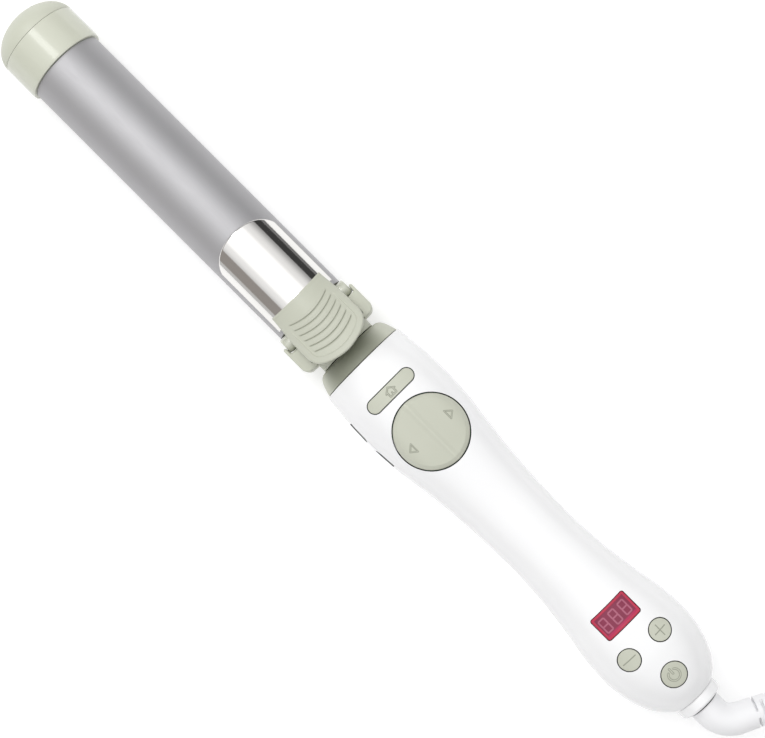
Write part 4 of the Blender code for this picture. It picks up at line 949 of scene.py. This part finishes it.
def make_relief():
    """Tapered boot: plain at the root, then short slots that alternate round it so that it can bend."""
    n, seg = 330, 120
    a = np.linspace(0, 2 * math.pi, seg, endpoint=False)
    verts = []
    first, pitch = 23.5, 2.8
    painted_shade = [0.0] * seg
    for i in range(n + 1):
        s = R_TOTAL * i / n
        c, h = relief_at(s)
        e1, e2 = np.array([-math.sin(h), math.cos(h), 0]), np.array([0, 0, 1.0])
        r = 6.8 + (5.75 - 6.8) * s / R_TOTAL
        r = r - round_off(s, 0.4) - round_off(R_TOTAL - s, 0.7)
        depth = np.zeros(seg)
        k = int(round((s - first) / pitch))
        if k >= 0 and first + k * pitch < R_TOTAL - 1.6:
            off = abs(s - first - k * pitch)
            along = 1 - ramp(off, 0.34, 0.48)
            phase = (math.pi / 2 if k % 2 else 0.0)
            around = np.abs((a - phase + math.pi / 2) % math.pi - math.pi / 2)
            reach = 51 if k % 2 else 73
            depth = 1.9 * along * (1 - ramp(around, math.radians(reach), math.radians(reach + 4)))
        # a narrow recessed waist at the root, where the boot leaves the swivel ring, is painted dark: painted shade in
        # that gap
        waist = 1 - float(ramp(s, 0.45, 0.65))
        rr = r - depth - 0.9 * waist
        painted_shade += [waist] * seg
        verts.append(c[None] + rr[:, None] * (np.cos(a)[:, None] * e1[None] + np.sin(a)[:, None] * e2[None]))
    c0, _ = relief_at(0)
    c1, _ = relief_at(R_TOTAL)
    verts = [np.tile(c0, (seg, 1))] + verts + [np.tile(c1, (seg, 1))]
    return make("relief_boot", np.vstack(verts), quads(len(verts), seg, wrap_v=True), M["white_boot_painted_shade"], 40, painted_shade=painted_shade + [0.0] * seg)


relief = on(make_relief(), "swivel", ["strain_relief"], "white_plastic")

# ================================================================ mains lead
HANK_RUN, HANK_LAYERS, LOOP_R = 78.0, 4, (18.0, 24.0)
LOOP_X0 = 476.0
LOOP_X1 = LOOP_X0 + HANK_RUN
FLOOR = -AXIS_Z
HANK_Z = (FLOOR + 1.3, FLOOR + 1.3 + HANK_LAYERS * CORD_D)
END, _ = relief_at(R_TOTAL)
HEAD = np.array([math.cos(TURN), math.sin(TURN)])
START = END[:2] + 0.35 * HEAD
STRAIGHT, BIG = 3.0, 30.0
CX, CY = START + STRAIGHT * HEAD
LEVEL = CY + BIG * (1 - math.cos(TURN))
LOOP_Y = LEVEL - LOOP_R[1]


def lead_points():
    stop_x = LOOP_X0 - 20.4
    bend = BIG * TURN
    over = stop_x - (CX + BIG * math.sin(TURN))
    total = STRAIGHT + bend + over
    pts = []
    for i in range(46):
        s = total * i / 45
        if s < STRAIGHT:
            p = (START[0] + s * HEAD[0], START[1] + s * HEAD[1])
        elif s < STRAIGHT + bend:
            a = TURN - (s - STRAIGHT) / BIG
            p = (CX + BIG * (math.sin(TURN) - math.sin(a)), CY + BIG * (math.cos(a) - math.cos(TURN)))
        else:
            p = (CX + BIG * math.sin(TURN) + s - STRAIGHT - bend, LEVEL)
        pts.append((p[0], p[1], (HANK_Z[0] + CORD_D / 2) * float(ramp(s, 0, total))))
    return pts


def waist(x):
    u = (x - LOOP_X0) / HANK_RUN
    return 12.2 + (LOOP_R[1] + 3 - 12.2) * (0.5 + 0.5 * math.cos(2 * math.pi * u))


ORDER = [(0, 0), (1, 0), (1, 1), (0, 1), (0, 2), (1, 2), (1, 3), (0, 3)]     # (column from outside, layer) of each turn


def layer_z(k):
    return HANK_Z[0] + CORD_D / 2 + CORD_D * k


def hank_points():
    pts = []
    for t, (col, lay) in enumerate(ORDER):
        z = layer_z(lay)
        r = LOOP_R[1] - 6 * col
        for i in range(0 if t else 1, 16):
            x = LOOP_X0 + HANK_RUN * i / 16
            pts.append((x, LOOP_Y + waist(x) - 3 - 6 * col, z))
        for k in range(0, 13):
            a = math.radians(90 - 15 * k)
            pts.append((LOOP_X1 + r * math.cos(a), LOOP_Y + r * math.sin(a), z))
        if t == len(ORDER) - 1:
            break
        for i in range(15, 0, -1):
            x = LOOP_X0 + HANK_RUN * i / 16
            pts.append((x, LOOP_Y - (waist(x) - 3 - 6 * col), z))
        ncol, nlay = ORDER[t + 1]
        for k in range(0, 12):
            a = math.radians(270 - 15 * k)
            f = float(ramp(k / 12, 0.0, 1.0))
            rr = r + (LOOP_R[1] - 6 * ncol - r) * f
            pts.append((LOOP_X0 + rr * math.cos(a), LOOP_Y + rr * math.sin(a), z + (layer_z(nlay) - z) * f))
    return pts


STEP_X = LOOP_X1 - 5.0
PLUG_X, PLUG_Y, PLUG_Z = LOOP_X0 + 22.0, -15.5, FLOOR + 11.2


def tail_points():
    a = (STEP_X - 0.35, LOOP_Y - LOOP_R[1], HANK_Z[1] - CORD_D / 2)
    b = (PLUG_X, PLUG_Y, PLUG_Z)
    out = []
    for i in range(1, 17):
        u = i / 16
        w = u * u * (3 - 2 * u)
        out.append((a[0] + (b[0] - a[0]) * u, a[1] + (b[1] - a[1]) * w, a[2] + (b[2] - a[2]) * w))
    return out


def spline(points, step):
    """Points every step millimetres on a centripetal Catmull-Rom curve through the route."""
    p = np.asarray(points, float)
    keep = np.r_[True, np.linalg.norm(np.diff(p, axis=0), axis=1) > 0.3]
    p = p[keep]
    q = np.vstack([2 * p[0] - p[1], p, 2 * p[-1] - p[-2]])
    out = []
    for i in range(1, len(q) - 2):
        p0, p1, p2, p3 = q[i - 1], q[i], q[i + 1], q[i + 2]
        t = [0.0]
        for u, v in ((p0, p1), (p1, p2), (p2, p3)):
            t.append(t[-1] + max(1e-6, np.linalg.norm(v - u)) ** 0.5)
        for x in np.linspace(t[1], t[2], 8, endpoint=False):
            a1 = (t[1] - x) / (t[1] - t[0]) * p0 + (x - t[0]) / (t[1] - t[0]) * p1
            a2 = (t[2] - x) / (t[2] - t[1]) * p1 + (x - t[1]) / (t[2] - t[1]) * p2
            a3 = (t[3] - x) / (t[3] - t[2]) * p2 + (x - t[2]) / (t[3] - t[2]) * p3
            b1 = (t[2] - x) / (t[2] - t[0]) * a1 + (x - t[0]) / (t[2] - t[0]) * a2
            b2 = (t[3] - x) / (t[3] - t[1]) * a2 + (x - t[1]) / (t[3] - t[1]) * a3
            out.append((t[2] - x) / (t[2] - t[1]) * b1 + (x - t[1]) / (t[2] - t[1]) * b2)
    out.append(p[-1])
    o = np.array(out)
    d = np.r_[0, np.cumsum(np.linalg.norm(np.diff(o, axis=0), axis=1))]
    n = max(2, int(round(d[-1] / step)))
    s = np.linspace(0, d[-1], n + 1)
    return np.c_[[np.interp(s, d, o[:, k]) for k in range(3)]].T, d[-1]


def swept(name, line, radius, mat, seg=20):
    """A round tube along a line, with rounded ends, built with frames carried along it."""
    n = len(line)
    tan = np.gradient(line, axis=0)
    tan /= np.linalg.norm(tan, axis=1)[:, None]
    up = np.array([0, 0, 1.0])
    e = np.cross(up, tan[0])
    e /= np.linalg.norm(e)
    a = np.linspace(0, 2 * math.pi, seg, endpoint=False)
    rows = []
    for i in range(n):
        e = e - tan[i] * (e @ tan[i])
        e /= np.linalg.norm(e)
        f = np.cross(tan[i], e)
        rows.append(line[i] + radius * (np.cos(a)[:, None] * e + np.sin(a)[:, None] * f))
    rows = [np.tile(line[0], (seg, 1))] + rows + [np.tile(line[-1], (seg, 1))]
    return make(name, np.vstack(rows), quads(len(rows), seg, wrap_v=True), mat, 50)


route = lead_points() + hank_points() + tail_points()
centre, cord_mm = spline(route, 2.2)
cord = swept("mains_lead", centre, CORD_D / 2, M["cord"], 20)
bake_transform(cord)
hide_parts("cord_lead", "cord_hank", "cord_tail")
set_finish(cord, "cord_jacket")


# ---------------------------------------------------------------- strap round the hank
def make_strap():
    mid = (LOOP_X0 + LOOP_X1) / 2
    loop = softened([(LOOP_Y + a, b) for a, b in ((-13.3, FLOOR + 0.55), (13.3, FLOOR + 0.55), (13.3, HANK_Z[1] + 0.75), (-13.3, HANK_Z[1] + 0.75))], 4.5, n=14)
    loop = resampled([tuple(p) for p in loop], 200)
    nrm = np.roll(loop, -1, 0) - np.roll(loop, 1, 0)
    nrm = np.c_[nrm[:, 1], -nrm[:, 0]] / np.linalg.norm(nrm, axis=1)[:, None]
    half, t = 5.0, 0.45
    sec = []
    for k in range(24):
        a = 2 * math.pi * k / 24
        c, s = math.cos(a), math.sin(a)
        sec.append((half * math.copysign(abs(c) ** 0.22, c), t * math.copysign(abs(s) ** 0.8, s)))
    rows = [np.c_[mid + np.array([q[0] for q in sec]), np.array([loop[i, 0] + nrm[i, 0] * q[1] for q in sec]), np.array([loop[i, 1] + nrm[i, 1] * q[1] for q in sec])] for i in range(len(loop))]
    return make("hank_strap", np.vstack(rows), quads(len(rows), 24, wrap_u=True, wrap_v=True), M["strap"], 50)


strap = on(make_strap(), "handle", ["cord_tie"], "black_plastic")


# ---------------------------------------------------------------- plug
def make_plug():
    """Two-blade plug: a ribbed boot that swells into a flat grip."""
    xs = np.unique(np.r_[np.linspace(-0.35, -12, 90), np.linspace(-12, -34, 110)])[::-1]
    seg = 160
    a = np.linspace(0, 2 * math.pi, seg, endpoint=False)
    rows = []
    for dx in xs:
        d = -dx
        hz = float(smooth_between((0.35, 3, 12.0, 17.0, 21, 34.0), (4.4, 4.6, 6.5, 10.2, 10.85, 10.85), d))
        hy = float(smooth_between((0.35, 3, 12.0, 17.0, 34.0), (4.4, 4.6, 5.4, 6.4, 6.4), d))
        if 2.0 < d < 11.0:
            g = 0.5 - 0.5 * math.cos(2 * math.pi * (d - 2.0) / 2.25)
            hz, hy = hz - 0.55 * g, hy - 0.55 * g
        dish = float(ramp(d, 19, 22) * (1 - ramp(d, 29, 32)))
        off = float(round_off(34.0 - d, 1.3) + round_off(d - 0.35, 0.6))
        n = 2.2 + 2.6 * float(ramp(d, 11, 19))
        c, s = np.cos(a), np.sin(a)
        y = (hy - off) * np.sign(c) * np.abs(c) ** (2 / n)
        z = (hz - off) * np.sign(s) * np.abs(s) ** (2 / n)
        flat = np.clip(1 - (z / 8.2) ** 4, 0, 1)
        ribs = 0.5 + 0.5 * np.cos(2 * math.pi * (d - 19) / 2.0)
        y = y - np.sign(y) * dish * flat * (0.35 + 0.35 * ribs) * (np.abs(y) > 3)
        rows.append(np.c_[np.full(seg, PLUG_X + dx), PLUG_Y + y, PLUG_Z + z])
    rows = [np.tile([PLUG_X + xs[0], PLUG_Y, PLUG_Z], (seg, 1))] + rows + [np.tile([PLUG_X + xs[-1], PLUG_Y, PLUG_Z], (seg, 1))]
    o = make("plug_grip", np.vstack(rows), quads(len(rows), seg, wrap_v=True), M["white_soft"], 40)
    for s in (1, -1):
        z = PLUG_Z + s * 6.35
        cut(o, extrude("seat", rounded_at(PLUG_Y, z, 7.0, 2.1, 0.4), "x", PLUG_X - 40, PLUG_X - 24, None))
    return shaded(o, 40)


def rounded_at(cy, cz, a, b, r):
    return [(cy + p[0], cz + p[1]) for p in rounded(a, b, r, 4)]


plug = on(make_plug(), "handle", ["plug_body"], "white_plastic")
for name, s in (("upper", 1), ("lower", -1)):
    z = PLUG_Z + s * 6.35
    x0, x1 = PLUG_X - 51, PLUG_X - 24.5
    line = softened([(x0, PLUG_Y - 3.2), (x1, PLUG_Y - 3.2), (x1, PLUG_Y + 3.2), (x0, PLUG_Y + 3.2)], [1.6, 0.2, 0.2, 1.6], n=8)
    b = extrude("blade_" + name, line, "z", z - 0.75, z + 0.75, M["blade"], bevel=0.3, segs=3)
    applied(b)
    cut(b, extrude("hole", circle(1.6, 40, x0 + 3.6, PLUG_Y), "z", z - 3, z + 3, None))
    on(shaded(b, 35), "handle", ["plug_blade_" + name], "brass")

# ================================================================ inner pieces keep the CAD's shape
BY_SLOT = {
    "sage_plastic": "sage", "white_plastic": "white", "barrel_coating": "barrel", "chrome_plate": "chrome", "steel": "steel", "aluminium": "alu",
    "brass": "brass", "black_plastic": "black", "board": "board", "ceramic": "ceramic", "display_lens": "lens", "cord_jacket": "cord",
}
for name, o in frame["nodes"].items():
    look = BY_SLOT.get(o.get("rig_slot", ""), None)
    if look is None:
        look = "steel"
        for row in frame["record"].get("subparts", []):
            if row.get("node") == name or row.get("name") == name:
                look = BY_SLOT.get(row.get("material_slot") or row.get("material") or "", "steel")
    o.data.materials.clear()
    o.data.materials.append(M[look])

# ================================================================ floor, cards and lights
scene = bpy.context.scene


def sheet(name, points, mat):
    me = bpy.data.meshes.new(name)
    me.from_pydata(points, [], [(0, 1, 2, 3)])
    o = bpy.data.objects.new(name, me)
    scene.collection.objects.link(o)
    me.materials.append(mat)
    return o


fm = bpy.data.materials.new("paper_floor")
fm.use_nodes = True
fn, fl = fm.node_tree.nodes, fm.node_tree.links
fb = fn["Principled BSDF"]
fb.inputs["Base Color"].default_value = (0.66, 0.66, 0.66, 1)
fb.inputs["Roughness"].default_value = 0.9
fb.inputs["Specular IOR Level"].default_value = 0.0
fb.inputs["Emission Color"].default_value = (1, 1, 1, 1)
fb.inputs["Emission Strength"].default_value = 0.42
sheet("floor", [(-8, -8, -0.0004), (8, -8, -0.0004), (8, 8, -0.0004), (-8, 8, -0.0004)], fm)


def card(name, side, lo, hi, level, tint=(1, 1, 1)):
    """A long card beside the set, seen only in reflections, between two elevations."""
    m = bpy.data.materials.new(name)
    m.use_nodes = True
    n = m.node_tree.nodes
    n.clear()
    out, em = n.new("ShaderNodeOutputMaterial"), n.new("ShaderNodeEmission")
    em.inputs["Color"].default_value = (*tint, 1)
    em.inputs["Strength"].default_value = level
    m.node_tree.links.new(em.outputs[0], out.inputs[0])
    d = 0.9
    z0, z1 = d * math.tan(math.radians(lo)), d * math.tan(math.radians(hi))
    o = sheet(name, [(-1.6, side * d, z0), (1.6, side * d, z0), (1.6, side * d, z1), (-1.6, side * d, z1)], m)
    o.visible_camera = False
    o.visible_diffuse = False
    o.visible_shadow = False
    o.visible_transmission = False
    o.visible_volume_scatter = False
    return o


card("card_left", 1, 10.5, 29, 0.05)
card("card_right", -1, 11, 39, 0.33, (1.0, 0.93, 0.88))
card("fill_right", -1, 1, 11, 0.60)


def area(name, at, look, size, power, spread=180):
    li = bpy.data.lights.new(name, "AREA")
    li.shape, li.size, li.size_y, li.energy = "RECTANGLE", size[0], size[1], power
    li.spread = math.radians(spread)
    o = bpy.data.objects.new(name, li)
    scene.collection.objects.link(o)
    o.location = at
    d = Vector(look) - Vector(at)
    o.rotation_euler = d.to_track_quat("-Z", "Y").to_euler()
    return o


strip = area("strip", (-1.0, 0.0, 1.15), (-1.0, 0.0, 0.0), (1.8, 0.36), 8.0)
strip.rotation_euler = (0, 0, 0)

world = bpy.data.worlds.new("studio")
scene.world = world
world.use_nodes = True
wn, wl = world.node_tree.nodes, world.node_tree.links
bg = wn["Background"]
bg.inputs["Strength"].default_value = 1.0
direction = wn.new("ShaderNodeTexCoord")
parts = wn.new("ShaderNodeSeparateXYZ")
sky = wn.new("ShaderNodeValToRGB")
wl.new(direction.outputs["Generated"], parts.inputs[0])
wl.new(parts.outputs["Z"], sky.inputs["Fac"])
wl.new(sky.outputs["Color"], bg.inputs["Color"])
along = wn.new("ShaderNodeMapRange")
along.inputs["From Min"].default_value, along.inputs["From Max"].default_value = -1.0, 1.0
along.inputs["To Min"].default_value, along.inputs["To Max"].default_value = 0.98, 0.64
wl.new(parts.outputs["X"], along.inputs["Value"])
wl.new(along.outputs["Result"], bg.inputs["Strength"])
sky.color_ramp.interpolation = "EASE"
for i, (at, level) in enumerate(((0.0, 0.22), (0.45, 0.47), (0.80, 1.16), (1.0, 2.05))):
    stop = sky.color_ramp.elements[i] if i < 2 else sky.color_ramp.elements.new(at)
    stop.position, stop.color = at, (level, level, level * 1.005, 1)
scene.view_settings.view_transform = "Standard"
scene.view_settings.look = "None"
scene.view_settings.exposure = 0.0
scene.view_settings.gamma = 1.0

# ================================================================ camera
cam = bpy.data.objects.new("camera", bpy.data.cameras.new("camera"))
scene.collection.objects.link(cam)
q = 1 / math.sqrt(2)
base = Matrix(((q, -q, 0), (q, q, 0), (0, 0, 1)))
lean = Vector((math.radians(0.47), math.radians(0.32), 0))
R = base @ Matrix.Rotation(lean.length, 3, lean.normalized())
cam.matrix_world = Matrix.Translation((0.0285, 0.0025, 0.68)) @ R.to_4x4()
cam.data.sensor_fit, cam.data.sensor_width = "HORIZONTAL", 36.0
cam.data.lens = 79.6
cam.data.shift_x, cam.data.shift_y = -0.03, 0.03
cam.data.clip_start, cam.data.clip_end = 0.01, 50
scene.camera = cam
